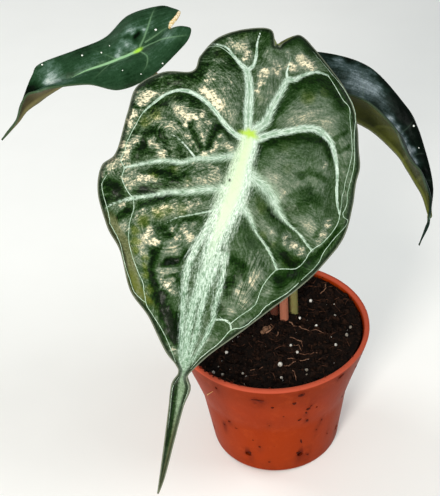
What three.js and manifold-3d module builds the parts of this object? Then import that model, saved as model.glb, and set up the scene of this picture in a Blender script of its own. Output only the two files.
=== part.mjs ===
// Potted alocasia: three leaves on slim stems, growing from dark soil in a nursery pot.
// Millimetres, +Z up. The origin is the centre of the pot's underside, on the ground,
// and the large front leaf shows its upper face towards -Y.
import * as THREE from 'three';
import { mergeVertices } from 'three/addons/utils/BufferGeometryUtils.js';
import Module from 'manifold-3d';

// Driving dimensions
const potHeight = 68;
const potRimRadius = 45;
const potWaistRadius = 35;
const potWaistHeight = 33;
const potBaseRadius = 30.8;
const potWall = 1.2;
const potLipWidth = 2.3;
const potFloor = 1.8;
const potSides = 48;
const drainHoleRadius = 1.4;
const drainHoleHeight = 11.5;
const drainHoleCount = 8;
const drainHoleTurn = 0.29;
const footSlotCount = 6;
const footSlotWidth = 12;
const footSlotHeight = 1;
const footSlotLength = 7;
const footSlotTurn = 0.125;
const soilLevel = 64;
const seatGap = 0.3;
const bladeThickness = 0.8;
const stemRadius = 2.1;
const stemTopRadius = 1.6;
const stemFootHeight = 52;

const wasm = await Module();
wasm.setup();

// Solid helpers
function asManifold(geometry) {
  const plain = geometry.clone();
  plain.deleteAttribute('normal');
  plain.deleteAttribute('uv');
  const merged = mergeVertices(plain, 1e-4);
  return new wasm.Manifold(new wasm.Mesh({
    numProp: 3,
    vertProperties: new Float32Array(merged.attributes.position.array),
    triVerts: new Uint32Array(merged.index.array),
  }));
}

function asGeometry(manifold) {
  const mesh = manifold.getMesh();
  const geometry = new THREE.BufferGeometry();
  geometry.setAttribute('position', new THREE.BufferAttribute(Float32Array.from(mesh.vertProperties), 3));
  geometry.setIndex(new THREE.BufferAttribute(Uint32Array.from(mesh.triVerts), 1));
  return geometry;
}

function geometryFrom(points, triangles) {
  const geometry = new THREE.BufferGeometry();
  const coordinates = points.flatMap((point) => [point.x, point.y, point.z]);
  geometry.setAttribute('position', new THREE.Float32BufferAttribute(coordinates, 3));
  geometry.setIndex(triangles.flat());
  return geometry;
}

function turned(geometry, x, y, z, angle = 0) {
  const matrix = new THREE.Matrix4().makeRotationZ(angle);
  matrix.setPosition(x, y, z);
  return geometry.applyMatrix4(matrix);
}

// Triangles between two rows of points that may hold different numbers of points
function stitchRows(upper, lower) {
  const triangles = [];
  let i = 0;
  let j = 0;
  while (i < upper.length - 1 || j < lower.length - 1) {
    const nextUpper = i < upper.length - 1 ? (i + 1) / (upper.length - 1) : 2;
    const nextLower = j < lower.length - 1 ? (j + 1) / (lower.length - 1) : 2;
    if (nextUpper <= nextLower) {
      triangles.push([upper[i], lower[j], upper[i + 1]]);
      i += 1;
    } else {
      triangles.push([upper[i], lower[j], lower[j + 1]]);
      j += 1;
    }
  }
  return triangles;
}

// Closed thin solid under a surface; both faces carry the same triangles.
// surface(s, t) gives the upper face, s from 0 to 1 along and t from -1 to 1 across.
function thinSolid(surface, rowCount, cellSize, thicknessAt) {
  const points = [];
  const rows = [];
  for (let r = 0; r <= rowCount; r += 1) {
    const s = r / rowCount;
    const width = surface(s, -1).distanceTo(surface(s, 0)) + surface(s, 0).distanceTo(surface(s, 1));
    const cells = 2 * Math.max(1, Math.round(width / cellSize / 2));
    const row = [];
    for (let c = 0; c <= cells; c += 1) {
      const t = 2 * c / cells - 1;
      const top = surface(s, t);
      const below = normalOf(surface, s, t).multiplyScalar(-thicknessAt(s, t));
      row.push(points.length / 2);
      points.push(top, top.clone().add(below));
    }
    rows.push(row);
  }
  const upperFace = rows.slice(1).flatMap((row, r) => stitchRows(rows[r], row));
  const edges = new Set();
  for (const [a, b, c] of upperFace) {
    edges.add(`${a} ${b}`).add(`${b} ${c}`).add(`${c} ${a}`);
  }
  const triangles = [];
  for (const [a, b, c] of upperFace) {
    triangles.push([2 * a, 2 * b, 2 * c], [2 * a + 1, 2 * c + 1, 2 * b + 1]);
    for (const [from, to] of [[a, b], [b, c], [c, a]]) {
      if (!edges.has(`${to} ${from}`)) {
        triangles.push([2 * to, 2 * from, 2 * from + 1], [2 * to, 2 * from + 1, 2 * to + 1]);
      }
    }
  }
  return geometryFrom(points, triangles);
}

function normalOf(surface, s, t) {
  const step = 0.01;
  const low = Math.max(0, s - step);
  const high = Math.min(1, s + step);
  const left = Math.max(-1, t - 2 * step);
  const right = Math.min(1, t + 2 * step);
  const along = surface(high, t).sub(surface(low, t));
  const across = surface(s, right).sub(surface(s, left));
  return along.cross(across).normalize();
}

function vector([x, y, z]) {
  return new THREE.Vector3(x, y, z);
}

function smoothStep(from, to, value) {
  const k = Math.min(1, Math.max(0, (value - from) / (to - from)));
  return k * k * (3 - 2 * k);
}

// Inside of the pot from lip to floor, as radius and height
const potInside = [
  [potRimRadius - potLipWidth, potHeight],
  [potRimRadius - potLipWidth - 0.5, potHeight - 2.4],
  [potWaistRadius - potWall, potWaistHeight],
  [potBaseRadius - potWall, potFloor + 1],
  [potBaseRadius - potWall - 1, potFloor],
];

// Pot: one turned profile with a kink at the waist, foot slots and drain holes
function makePot() {
  const outer = [
    [0, 0], [potBaseRadius - 1.6, 0], [potBaseRadius - 0.3, 0.7], [potBaseRadius, 2],
    [potWaistRadius, potWaistHeight], [potRimRadius - 0.1, potHeight - 1], [potRimRadius - 0.5, potHeight],
  ];
  const inside = [...potInside, [0, potFloor]];
  const profile = [...outer, ...inside].map(([radius, z]) => new THREE.Vector2(radius, z));
  const turnedPot = new THREE.LatheGeometry(profile, potSides);
  turnedPot.rotateX(Math.PI / 2);
  let pot = asManifold(turnedPot);
  for (let i = 0; i < footSlotCount; i += 1) {
    const angle = footSlotTurn - Math.PI / 2 + i * 2 * Math.PI / footSlotCount;
    const radius = potBaseRadius - footSlotLength / 2 + 1;
    const slot = new THREE.BoxGeometry(footSlotLength, footSlotWidth, 2 * footSlotHeight);
    turned(slot, radius * Math.cos(angle), radius * Math.sin(angle), 0, angle);
    pot = pot.subtract(asManifold(slot));
  }
  for (let i = 0; i < drainHoleCount; i += 1) {
    const angle = drainHoleTurn - Math.PI / 2 + i * 2 * Math.PI / drainHoleCount;
    const hole = new THREE.CylinderGeometry(drainHoleRadius, drainHoleRadius, 5 * potWall, 10);
    hole.rotateZ(Math.PI / 2);
    const radius = potBaseRadius + potWall / 2;
    turned(hole, radius * Math.cos(angle), radius * Math.sin(angle), drainHoleHeight, angle);
    pot = pot.subtract(asManifold(hole));
  }
  return asGeometry(pot);
}

// Soil: a plug that follows the pot's inside, lumpy on top, with perlite beads and a bark chip
const stemFeet = {
  front: [6.3, 7.4],
  left: [1.9, 12.6],
  right: [11.2, 11.4],
};

// x, y and radius of the pale beads that lie on the soil
const perliteBeads = [
  [1.5, -25.5, 1.3], [13, -28.5, 0.9], [29.5, 17, 1], [20, 18, 0.9], [36, -4, 0.9], [20.5, -0.5, 0.8],
  [13.5, 6.5, 0.8], [7.5, -12, 0.8], [10, -17, 0.8], [33.5, -9.5, 0.9], [28, -13.5, 0.8], [30, 6, 0.8],
  [1.5, -31.5, 0.8], [-14, -31, 0.8], [-15.5, -27.5, 0.7], [-24.5, -28, 0.8], [-28.5, -26.5, 0.9],
  [-22, -13.5, 0.9], [-9, 20, 0.9], [-26, 8, 0.8], [6, 30, 0.9],
];
const barkChip = [-3, 0, 1.8];

function soilHeight(x, y) {
  const lumps = 0.7 * Math.sin(0.31 * x + 1.3) * Math.cos(0.27 * y - 0.4)
    + 0.5 * Math.sin(0.62 * x - 0.51 * y) + 0.35 * Math.cos(0.83 * y + 0.4 * x + 2);
  return soilLevel + lumps * (1 - smoothStep(34, 42, Math.hypot(x, y)));
}

function makeSoil() {
  const ringCount = 11;
  const sectors = potSides;
  const [, [neckRadius, neckHeight], [waistRadius, waistHeight], ...floorCorner] = potInside;
  const soilShare = (soilLevel - waistHeight) / (neckHeight - waistHeight);
  const topRadius = THREE.MathUtils.lerp(waistRadius, neckRadius, soilShare) - seatGap;
  const sideRings = [
    [waistRadius - seatGap, waistHeight],
    ...floorCorner.map(([radius, z]) => [radius - seatGap, z + seatGap]),
  ];
  const points = [new THREE.Vector3(0, 0, soilHeight(0, 0))];
  const addRing = (radius, heightAt) => {
    for (let i = 0; i < sectors; i += 1) {
      const angle = i * 2 * Math.PI / sectors;
      const x = radius * Math.cos(angle);
      const y = radius * Math.sin(angle);
      points.push(new THREE.Vector3(x, y, heightAt(x, y)));
    }
  };
  for (let ring = 1; ring <= ringCount; ring += 1) {
    addRing(topRadius * ring / ringCount, soilHeight);
  }
  for (const [radius, z] of sideRings) {
    addRing(radius, () => z);
  }
  points.push(new THREE.Vector3(0, 0, potFloor + seatGap));
  const last = points.length - 1;
  const triangles = [];
  const rings = ringCount + sideRings.length;
  for (let i = 0; i < sectors; i += 1) {
    const next = (i + 1) % sectors;
    triangles.push([0, 1 + i, 1 + next]);
    for (let ring = 0; ring < rings - 1; ring += 1) {
      const a = 1 + ring * sectors;
      const b = a + sectors;
      triangles.push([a + i, b + i, b + next], [a + i, b + next, a + next]);
    }
    const bottom = 1 + (rings - 1) * sectors;
    triangles.push([bottom + i, last, bottom + next]);
  }
  let soil = asManifold(geometryFrom(points, triangles));
  for (const [x, y, radius] of [...perliteBeads, barkChip]) {
    const bead = new THREE.IcosahedronGeometry(radius, 0);
    soil = soil.add(asManifold(turned(bead, x, y, soilHeight(x, y), x)));
  }
  const cutLength = 2 * (soilLevel - stemFootHeight);
  for (const [x, y] of Object.values(stemFeet)) {
    const hole = new THREE.CylinderGeometry(stemRadius + seatGap, stemRadius + seatGap, cutLength, 12);
    hole.rotateX(Math.PI / 2);
    turned(hole, x, y, stemFootHeight - seatGap + cutLength / 2);
    soil = soil.subtract(asManifold(hole));
  }
  return asGeometry(soil);
}

// Stem: a tapering round sweep along a curve, from its hole in the soil to a blade
function makeStem(pathPoints) {
  const sides = 12;
  const steps = 18;
  const curve = new THREE.CatmullRomCurve3(pathPoints.map(vector));
  const frames = curve.computeFrenetFrames(steps, false);
  const points = [];
  for (let k = 0; k <= steps; k += 1) {
    const centre = curve.getPointAt(k / steps);
    const radius = THREE.MathUtils.lerp(stemRadius, stemTopRadius, k / steps);
    for (let i = 0; i < sides; i += 1) {
      const angle = i * 2 * Math.PI / sides;
      points.push(centre.clone()
        .addScaledVector(frames.normals[k], radius * Math.cos(angle))
        .addScaledVector(frames.binormals[k], radius * Math.sin(angle)));
    }
  }
  points.push(curve.getPointAt(0), curve.getPointAt(1));
  const foot = points.length - 2;
  const head = points.length - 1;
  const triangles = [];
  for (let i = 0; i < sides; i += 1) {
    const next = (i + 1) % sides;
    triangles.push([foot, next, i], [head, steps * sides + i, steps * sides + next]);
    for (let k = 0; k < steps; k += 1) {
      const a = k * sides;
      const b = a + sides;
      triangles.push([a + i, a + next, b + next], [a + i, b + next, b + i]);
    }
  }
  return geometryFrom(points, triangles);
}

// Front leaf: drawn on its own plane, `along` from the stem joint towards the tail and
// `across` to its right, then raised off the plane.
const frontJoint = [-6.7, -5, 173.7];
const frontAlong = vector([-0.337, -0.572, -0.748]).normalize();
const frontAcross = vector([0.9415, -0.205, -0.268]).normalize();
const frontNormal = frontAlong.clone().cross(frontAcross).normalize();

// Each row, from the notch to the tail's tip: along and across of the left margin,
// of the midrib and of the right margin.
const frontRows = [
  [-40, 0.4, -39.6, 0.9, -40.1, 2.3],
  [-46.7, -2.8, -36.8, 0.4, -43.3, 3.6],
  [-45, -11.3, -32.5, 0.2, -48.3, 8.9],
  [-37.7, -23.2, -25, 0, -45, 16],
  [-27.5, -28.1, -16.5, 0, -38.3, 24.5],
  [-19.8, -29.3, -9.5, 0, -31.6, 32],
  [-16.4, -41, -4.3, 0, -24, 38.5],
  [-8, -50, 0, 0, -16, 42.5],
  [4.5, -50.2, 7.3, 0, -7, 45],
  [21, -50.5, 15, 0, 0, 47.2],
  [27.8, -54.4, 20, 0, 6.2, 47.4],
  [39, -52.7, 27.5, 0, 15.6, 48.4],
  [51, -45.2, 39, -0.4, 29.6, 48],
  [59, -37.2, 49, -1, 42, 43],
  [73, -29.2, 62, -1.5, 54.3, 35.4],
  [81.2, -19, 73.3, -1.6, 71, 22.7],
  [92.5, -9, 86, -1.6, 87, 10],
  [96.6, -3.8, 94.7, -0.6, 95.4, 4.6],
  [99.6, -1.8, 99.5, 0.2, 100.4, 2.3],
  [104.8, -3.2, 104.5, 0.8, 104.6, 4.6],
  [114.5, -1.4, 113.3, 1.5, 112.6, 4.1],
  [130.7, 1.2, 129.1, 2.5, 128.8, 3.8],
  [153.4, 3.2, 153.5, 3.6, 153.2, 4],
];

// Ribs of the front leaf as along and across; the blade swells into domes between them.
const frontRibs = [
  [[-26, -8], [0, 0], [31, -1], [62, -3], [92, -1], [113, 2]],
  [[-26, -8], [-31, -15], [-34, -25], [-32, -27]],
  [[-26, -8], [-29, -6], [-39, -7], [-45, -7]],
  [[0, 0], [-7, 5], [-22, 8], [-31, 15], [-34, 25], [-22, 38], [-8, 43]],
  [[0, 0], [-6, 15], [-10, 26], [-5, 34], [10, 40], [21, 44]],
  [[12, 0], [21, 15], [30, 24], [38, 37], [47, 32], [49, 25]],
  [[25, 0], [37, 13], [49, 25], [60, 21], [75, 13]],
  [[21, 45], [32, 44], [50, 36], [64, 26], [77, 14], [97, 3]],
  [[0, 0], [-2, -11], [-11, -27], [-7, -38], [2, -44], [17, -48], [26, -45]],
  [[9, 0], [15, -18], [22, -37], [26, -45], [37, -38]],
  [[15, -18], [9, -27]],
  [[22, 0], [31, -25], [37, -38], [56, -34], [76, -22], [96, -4]],
  [[30, 0], [40, -19], [46, -24]],
  [[33, 0], [47, -9], [68, -10], [90, -3]],
];
const frontDomeHeight = 2.6;
const frontDomeReach = 5.5;

function distanceToRibs(along, across, ribs) {
  let nearest = Infinity;
  for (const rib of ribs) {
    for (let i = 1; i < rib.length; i += 1) {
      const [a0, b0] = rib[i - 1];
      const [a1, b1] = rib[i];
      const da = a1 - a0;
      const db = b1 - b0;
      const k = THREE.MathUtils.clamp(((along - a0) * da + (across - b0) * db) / (da * da + db * db), 0, 1);
      nearest = Math.min(nearest, Math.hypot(along - a0 - k * da, across - b0 - k * db));
    }
  }
  return nearest;
}

// The blade arches along its length, curls back at the lobes and lets its tail droop.
function frontArch(along, across) {
  const sides = -0.0034 * across * across;
  if (along < 0) {
    return sides + 0.22 * along - 0.004 * along * along;
  }
  if (along < 100) {
    return sides + 0.22 * along - 0.00196 * along * along;
  }
  const tail = along - 100;
  return sides + 2.4 - 0.172 * tail - 0.0045 * tail * tail;
}

function frontSurface(s, t) {
  const position = s * (frontRows.length - 1);
  const row = Math.min(frontRows.length - 2, Math.floor(position));
  const k = position - row;
  const at = (offset) => frontRows[THREE.MathUtils.clamp(row + offset, 0, frontRows.length - 1)];
  const value = (column) => {
    const [p, q, r, u] = [at(-1)[column], at(0)[column], at(1)[column], at(2)[column]];
    return q + 0.5 * k * (r - p + k * (2 * p - 5 * q + 4 * r - u + k * (3 * (q - r) + u - p)));
  };
  const side = t < 0 ? 0 : 4;
  const along = THREE.MathUtils.lerp(value(2), value(side), Math.abs(t));
  const across = THREE.MathUtils.lerp(value(3), value(side + 1), Math.abs(t));
  const edge = Math.abs(t) ** 6;
  const narrow = smoothStep(118, 92, along);
  const away = distanceToRibs(along, across, frontRibs) / frontDomeReach;
  const dome = frontDomeHeight * (1 - Math.exp(-away * away)) * (1 - 0.7 * edge) * narrow;
  const wave = 1.3 * Math.sin(0.23 * along + (t < 0 ? 0.4 : 2.2)) * Math.abs(t) ** 3 * narrow;
  return vector(frontJoint)
    .addScaledVector(frontAlong, along)
    .addScaledVector(frontAcross, across)
    .addScaledVector(frontNormal, frontArch(along, across) + dome + wave);
}

// Side leaves: each row gives one margin, the midrib and the other margin, notch to tip.
const leftRows = [
  [[-35, 41, 201.6], [-35.5, 40, 201.2], [-34.6, 39, 201]],
  [[-31, 45, 205.2], [-38, 38.2, 199.8], [-27.5, 36.4, 202.4]],
  [[-34.5, 48.2, 206.3], [-41.2, 37, 198.3], [-28.3, 32.8, 199.3]],
  [[-40.4, 50.8, 206.4], [-44.7, 35.3, 197], [-33, 29.8, 195.3]],
  [[-53.7, 49.8, 203.5], [-51.6, 32.8, 194.3], [-45.2, 22.5, 188.3]],
  [[-63.8, 42.8, 197.6], [-61, 31, 192], [-58.8, 20.2, 184.4]],
  [[-76.6, 38.2, 195], [-73.5, 28.8, 189], [-71.2, 21.4, 187.7]],
  [[-91.5, 33.6, 192.2], [-85.5, 27, 183.5], [-85.6, 18.2, 189.3]],
  [[-95, 30, 189], [-91, 26.2, 180.8], [-91.6, 18, 188]],
  [[-98, 25.8, 184.4], [-95.3, 24.5, 178.6], [-96.5, 19, 186.4]],
  [[-100.3, 21.6, 179.8], [-99.3, 21.9, 176], [-99.8, 18.8, 181.8]],
  [[-103.3, 18.4, 174], [-102.4, 19.3, 173.4], [-103, 16.8, 175]],
  [[-109.9, 15.3, 168], [-110, 15, 167.8], [-109.8, 14.6, 168]],
];

const rightRows = [
  [[24.6, 37.4, 164.2], [23.9, 39, 163.1], [23.5, 39.6, 164]],
  [[20, 31.8, 170], [26.8, 37.3, 162.4], [15.3, 45.3, 166.3]],
  [[26.6, 27.8, 174.6], [31.9, 34, 160], [18.3, 56, 175.3]],
  [[36, 25.2, 173], [39.2, 32.5, 156.2], [31.4, 57.3, 175.3]],
  [[46.9, 22.6, 168], [50, 30.6, 149.6], [51, 52.5, 169]],
  [[56.7, 17.6, 158], [60.4, 25.4, 140], [65.6, 40.5, 155]],
  [[60, 13.6, 151.2], [64.2, 22.1, 134.4], [70, 34.2, 147.6]],
  [[63.6, 11.2, 144.7], [67.7, 18.6, 128.8], [72.6, 27, 139.2]],
  [[67.3, 10.7, 140], [70.1, 14, 125.3], [74.3, 20.8, 131.8]],
  [[70.2, 9, 132], [71.5, 10.7, 121], [74.5, 15, 126]],
  [[71.7, 8.6, 124.8], [71.9, 7.9, 118], [73, 9.4, 121]],
  [[71.1, 6.7, 117.2], [71.6, 6.7, 116.6], [72.2, 7, 116.9]],
  [[69.5, 4, 114.2], [70.3, 4.1, 113.8], [71, 4.2, 113.9]],
  [[65.9, -0.8, 108.4], [66.1, -1, 108.2], [66.4, -0.8, 108.4]],
];

// A blade through three rails, each half swelling a little between midrib and margin
function sideSurface(rows, swell) {
  const rails = [0, 1, 2].map((side) => {
    const points = rows.map((row) => vector(row[side]));
    return new THREE.CatmullRomCurve3(points, false, 'catmullrom', 0.5);
  });
  return (s, t) => {
    const margin = rails[t < 0 ? 0 : 2].getPoint(s);
    const middle = rails[1].getPoint(s);
    const across = t < 0 ? middle.clone().sub(margin) : margin.clone().sub(middle);
    const ahead = rails[1].getPoint(Math.min(1, s + 0.02)).sub(rails[1].getPoint(Math.max(0, s - 0.02)));
    const outward = ahead.cross(across).normalize();
    const part = Math.abs(t);
    return middle.lerp(margin, part).addScaledVector(outward, swell * across.length() * part * (1 - part));
  };
}

// Blades thicken to a rib under the midrib
function ribbedThickness(surface, ribHeight, ribHalfWidth) {
  return (s, t) => {
    const away = surface(s, t).distanceTo(surface(s, 0)) / ribHalfWidth;
    const fade = smoothStep(0, 0.15, s) * (1 - 0.85 * s);
    return bladeThickness + ribHeight * fade * Math.exp(-away * away);
  };
}

// Each leaf with the stem that carries it. joint is where along the blade they meet.
const leaves = {
  front: {
    surface: frontSurface, rowCount: 90, cellSize: 3.6, ribHeight: 1.4, ribHalfWidth: 2.2,
    joint: 7 / 22, bends: [[6, 11, 105], [2, 14, 145]],
    color: 0x2c4a26, stemColor: 0xc88269,
  },
  left: {
    surface: sideSurface(leftRows, 0.35), rowCount: 30, cellSize: 4, ribHeight: 1.1, ribHalfWidth: 1.8,
    joint: 3.8 / 12, bends: [[-2, 20, 98], [-20, 33, 145]],
    color: 0x1e4128, stemColor: 0xb4866a,
  },
  right: {
    surface: sideSurface(rightRows, 0.3), rowCount: 32, cellSize: 5, ribHeight: 1.1, ribHalfWidth: 1.8,
    joint: 2.6 / 13, bends: [[12, 16, 98], [20, 27, 130]],
    color: 0x1a2c1e, stemColor: 0x827d4b,
  },
};

// A stem stands in its hole, follows its bends and ends square under its blade.
function stemPath(name, thicknessAt) {
  const { surface, joint, bends } = leaves[name];
  const [x, y] = stemFeet[name];
  const outward = normalOf(surface, joint, 0);
  const below = (distance) => surface(joint, 0)
    .addScaledVector(outward, -thicknessAt(joint, 0) - distance)
    .toArray();
  return [[x, y, stemFootHeight], [x, y, soilLevel + 3], ...bends, below(9), below(seatGap)];
}

const plant = new THREE.Group();
plant.name = 'potted_alocasia';

function addPart(name, geometry, color, roughness) {
  geometry.computeVertexNormals();
  const mesh = new THREE.Mesh(geometry, new THREE.MeshStandardMaterial({ color, roughness, metalness: 0 }));
  mesh.name = name;
  plant.add(mesh);
}

addPart('pot', makePot(), 0xaf4b28, 0.55);
addPart('soil', makeSoil(), 0x1e120f, 0.95);
for (const [name, leaf] of Object.entries(leaves)) {
  const thicknessAt = ribbedThickness(leaf.surface, leaf.ribHeight, leaf.ribHalfWidth);
  addPart(`stem_${name}`, makeStem(stemPath(name, thicknessAt)), leaf.stemColor, 0.5);
  const blade = thinSolid(leaf.surface, leaf.rowCount, leaf.cellSize, thicknessAt);
  addPart(`leaf_${name}`, blade, leaf.color, 0.35);
}

export default plant;
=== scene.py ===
# Potted alocasia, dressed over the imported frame.
# Tables are in millimetres, meshes in metres. The large leaf shows its upper face towards -Y.
import math
from itertools import product

import bpy
import numpy as np
from mathutils import Matrix, Vector, noise


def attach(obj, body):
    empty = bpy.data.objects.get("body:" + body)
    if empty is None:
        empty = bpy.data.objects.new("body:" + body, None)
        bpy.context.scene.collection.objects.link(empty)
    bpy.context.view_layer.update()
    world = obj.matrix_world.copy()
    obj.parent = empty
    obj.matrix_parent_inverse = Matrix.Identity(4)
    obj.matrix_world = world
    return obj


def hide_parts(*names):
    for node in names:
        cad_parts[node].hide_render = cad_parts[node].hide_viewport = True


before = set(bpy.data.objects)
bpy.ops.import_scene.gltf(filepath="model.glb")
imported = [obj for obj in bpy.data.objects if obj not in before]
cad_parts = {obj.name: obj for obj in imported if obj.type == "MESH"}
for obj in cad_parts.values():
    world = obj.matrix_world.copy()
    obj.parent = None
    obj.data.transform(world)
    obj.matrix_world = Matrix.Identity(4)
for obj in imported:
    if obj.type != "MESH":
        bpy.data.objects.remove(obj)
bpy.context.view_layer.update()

mm = 0.001


# colours, meshes and node trees
def srgb(red, green, blue):
    # screen values 0-255 to the linear colour that a shader takes
    shares = [channel / 255 for channel in (red, green, blue)]
    linear = [c / 12.92 if c <= 0.04045 else ((c + 0.055) / 1.055) ** 2.4 for c in shares]
    return (*linear, 1.0)


def smoothStep(low, high, value):
    k = np.clip((value - low) / (high - low), 0, 1)
    return k * k * (3 - 2 * k)


def unit(vectors):
    return vectors / np.maximum(np.linalg.norm(vectors, axis=-1, keepdims=True), 1e-9)


def polar(radius, azimuth, height):
    return (radius * math.cos(azimuth), radius * math.sin(azimuth), height)


def shadeSmooth(mesh, smooth=True):
    # one value for all faces, or a value for each
    mesh.polygons.foreach_set("use_smooth", np.full(len(mesh.polygons), smooth))


def plainMesh(name, points, faces, materials, slots=None):
    # points in millimetres, faces as lists of point numbers
    mesh = bpy.data.meshes.new(name)
    mesh.from_pydata((np.asarray(points) * mm).tolist(), [], faces)
    shadeSmooth(mesh)
    if slots is not None:
        mesh.polygons.foreach_set("material_index", np.asarray(slots, np.int32))
    for material in materials:
        mesh.materials.append(material)
    piece = bpy.data.objects.new(name, mesh)
    bpy.context.scene.collection.objects.link(piece)
    return piece


def addValues(piece, name, values):
    layer = piece.data.attributes.new(name, "FLOAT", "POINT")
    layer.data.foreach_set("value", np.asarray(values, np.float32))


def settle(piece, slot, *nodes):
    # every piece of a potted plant rides on its one body
    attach(piece, "root")
    if nodes:
        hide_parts(*nodes)
    triangles = sum(len(p.vertices) - 2 for p in piece.data.polygons)
    print(f"  {piece.name}: {triangles} triangles")
    return piece


def linesObject(name, lines):
    # each line is a list of (x, y, z, radius factor), in millimetres
    data = bpy.data.curves.new(name, "CURVE")
    data.dimensions = "3D"
    for line in lines:
        spline = data.splines.new("POLY")
        spline.points.add(len(line) - 1)
        for point, (x, y, z, size) in zip(spline.points, line):
            point.co = (x * mm, y * mm, z * mm, 1)
            point.radius = size
    holder = bpy.data.objects.new(name, data)
    bpy.context.scene.collection.objects.link(holder)
    return holder


def pointsObject(name, places):
    # each place is (position, size, turn) with size and turn as three numbers
    mesh = bpy.data.meshes.new(name)
    mesh.from_pydata([[c * mm for c in place[0]] for place in places], [], [])
    for layerName, column, scale in (("size", 1, mm), ("turn", 2, 1)):
        layer = mesh.attributes.new(layerName, "FLOAT_VECTOR", "POINT")
        values = np.array([place[column] for place in places], np.float32) * scale
        layer.data.foreach_set("vector", values.ravel())
    holder = bpy.data.objects.new(name, mesh)
    bpy.context.scene.collection.objects.link(holder)
    return holder


class NodeBench:
    # a short way to lay out a node tree: values may be numbers or other nodes' sockets
    def __init__(self, tree):
        self.tree = tree

    def add(self, kind, values=None, **settings):
        node = self.tree.nodes.new(kind)
        for key, value in settings.items():
            setattr(node, key, value)
        for key, value in (values or {}).items():
            socket = node.inputs[key]
            if isinstance(value, bpy.types.NodeSocket):
                self.tree.links.new(value, socket)
            else:
                socket.default_value = value
        return node

    def math(self, operation, *values):
        node = self.add("ShaderNodeMath", dict(enumerate(values)), operation=operation)
        return node.outputs[0]

    def vector(self, operation, *values):
        node = self.add("ShaderNodeVectorMath", dict(enumerate(values)), operation=operation)
        return node.outputs[0]

    def times(self, result, *factors):
        for factor in factors:
            result = self.math("MULTIPLY", result, factor)
        return result

    def plus(self, result, *values):
        for value in values:
            result = self.math("ADD", result, value)
        return result

    def around(self, value, size):
        # a 0-1 value as a swing of the given size about nothing
        return self.times(self.math("SUBTRACT", value, 0.5), size)

    def scaled(self, vector, factor):
        return self.add("ShaderNodeVectorMath", {0: vector, "Scale": factor}, operation="SCALE").outputs[0]

    def combine(self, x, y, z):
        return self.add("ShaderNodeCombineXYZ", {0: x, 1: y, 2: z}).outputs[0]

    def mask(self, value, low, high):
        # 0 below low, 1 above high, eased between
        node = self.add("ShaderNodeMapRange", {0: value, 1: low, 2: high, 3: 0.0, 4: 1.0},
                        interpolation_type="SMOOTHSTEP")
        return node.outputs[0]

    def spread(self, value, low, high):
        node = self.add("ShaderNodeMapRange", {0: value, 1: 0.0, 2: 1.0, 3: low, 4: high})
        return node.outputs[0]

    def mixColour(self, share, first, second):
        node = self.add("ShaderNodeMix", {0: share, 6: first, 7: second}, data_type="RGBA")
        return node.outputs[2]

    def noise(self, place, scale, detail=3.0, roughness=0.55, distortion=0.0):
        node = self.add("ShaderNodeTexNoise", {
            "Vector": place, "Scale": scale, "Detail": detail, "Roughness": roughness,
            "Distortion": distortion})
        return node.outputs[0]

    def ramp(self, value, stops):
        # stops: place from 0 to 1, then the screen colour
        node = self.add("ShaderNodeValToRGB", {0: value})
        elements = node.color_ramp.elements
        while len(elements) < len(stops):
            elements.new(1.0)
        for element, (position, *tone) in zip(elements, stops):
            element.position = position
            element.color = srgb(*tone)
        return node.outputs[0]

    def attribute(self, name):
        return self.add("ShaderNodeAttribute", attribute_name=name).outputs["Fac"]

    def attributes(self, *names):
        return [self.attribute(name) for name in names]

    def place(self):
        # Object coordinates in millimetres
        coordinates = self.add("ShaderNodeTexCoord").outputs["Object"]
        return self.vector("MULTIPLY", coordinates, (1000.0, 1000.0, 1000.0))


def newMaterial(name):
    material = bpy.data.materials.new(name)
    material.use_nodes = True
    material.node_tree.nodes.clear()
    return material, NodeBench(material.node_tree)


def finishMaterial(bench, colour, roughness, height=None, bumpDepth=0.1, settings=None):
    # height is in 0-1 steps, bumpDepth in millimetres; settings go straight on the shader's sockets
    shader = bench.add("ShaderNodeBsdfPrincipled", {"Base Color": colour, "Roughness": roughness})
    for name, value in (settings or {}).items():
        shader.inputs[name].default_value = value
    if height is not None:
        bump = bench.add("ShaderNodeBump", {"Height": height, "Strength": 1.0, "Distance": bumpDepth * mm})
        bench.tree.links.new(bump.outputs[0], shader.inputs["Normal"])
    output = bench.add("ShaderNodeOutputMaterial")
    bench.tree.links.new(shader.outputs[0], output.inputs["Surface"])


def newTree(name, inputs):
    # inputs: name -> (socket kind, default)
    tree = bpy.data.node_groups.new(name, "GeometryNodeTree")
    tree.interface.new_socket("Geometry", in_out="INPUT", socket_type="NodeSocketGeometry")
    tree.interface.new_socket("Geometry", in_out="OUTPUT", socket_type="NodeSocketGeometry")
    for inputName, (kind, default) in inputs.items():
        socket = tree.interface.new_socket(inputName, in_out="INPUT", socket_type=kind)
        if default is not None:
            socket.default_value = default
    bench = NodeBench(tree)
    return tree, bench, bench.add("NodeGroupInput").outputs


def closeTree(bench, geometry, material):
    real = bench.add("GeometryNodeRealizeInstances", {0: geometry})
    dressed = bench.add("GeometryNodeSetMaterial", {"Geometry": real.outputs[0], "Material": material})
    out = bench.add("NodeGroupOutput")
    bench.tree.links.new(dressed.outputs[0], out.inputs[0])


def grow(name, holder, tree, inputs):
    # runs a tree on its holder and keeps what grew as a plain mesh
    modifier = holder.modifiers.new("grow", "NODES")
    modifier.node_group = tree
    for item in tree.interface.items_tree:
        if item.in_out == "INPUT" and item.name in inputs:
            modifier[item.identifier] = inputs[item.name]
    depsgraph = bpy.context.evaluated_depsgraph_get()
    mesh = bpy.data.meshes.new_from_object(holder.evaluated_get(depsgraph), depsgraph=depsgraph)
    mesh.name = name
    holder.modifiers.remove(modifier)
    bpy.data.objects.remove(holder)
    piece = bpy.data.objects.new(name, mesh)
    bpy.context.scene.collection.objects.link(piece)
    return piece


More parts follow.
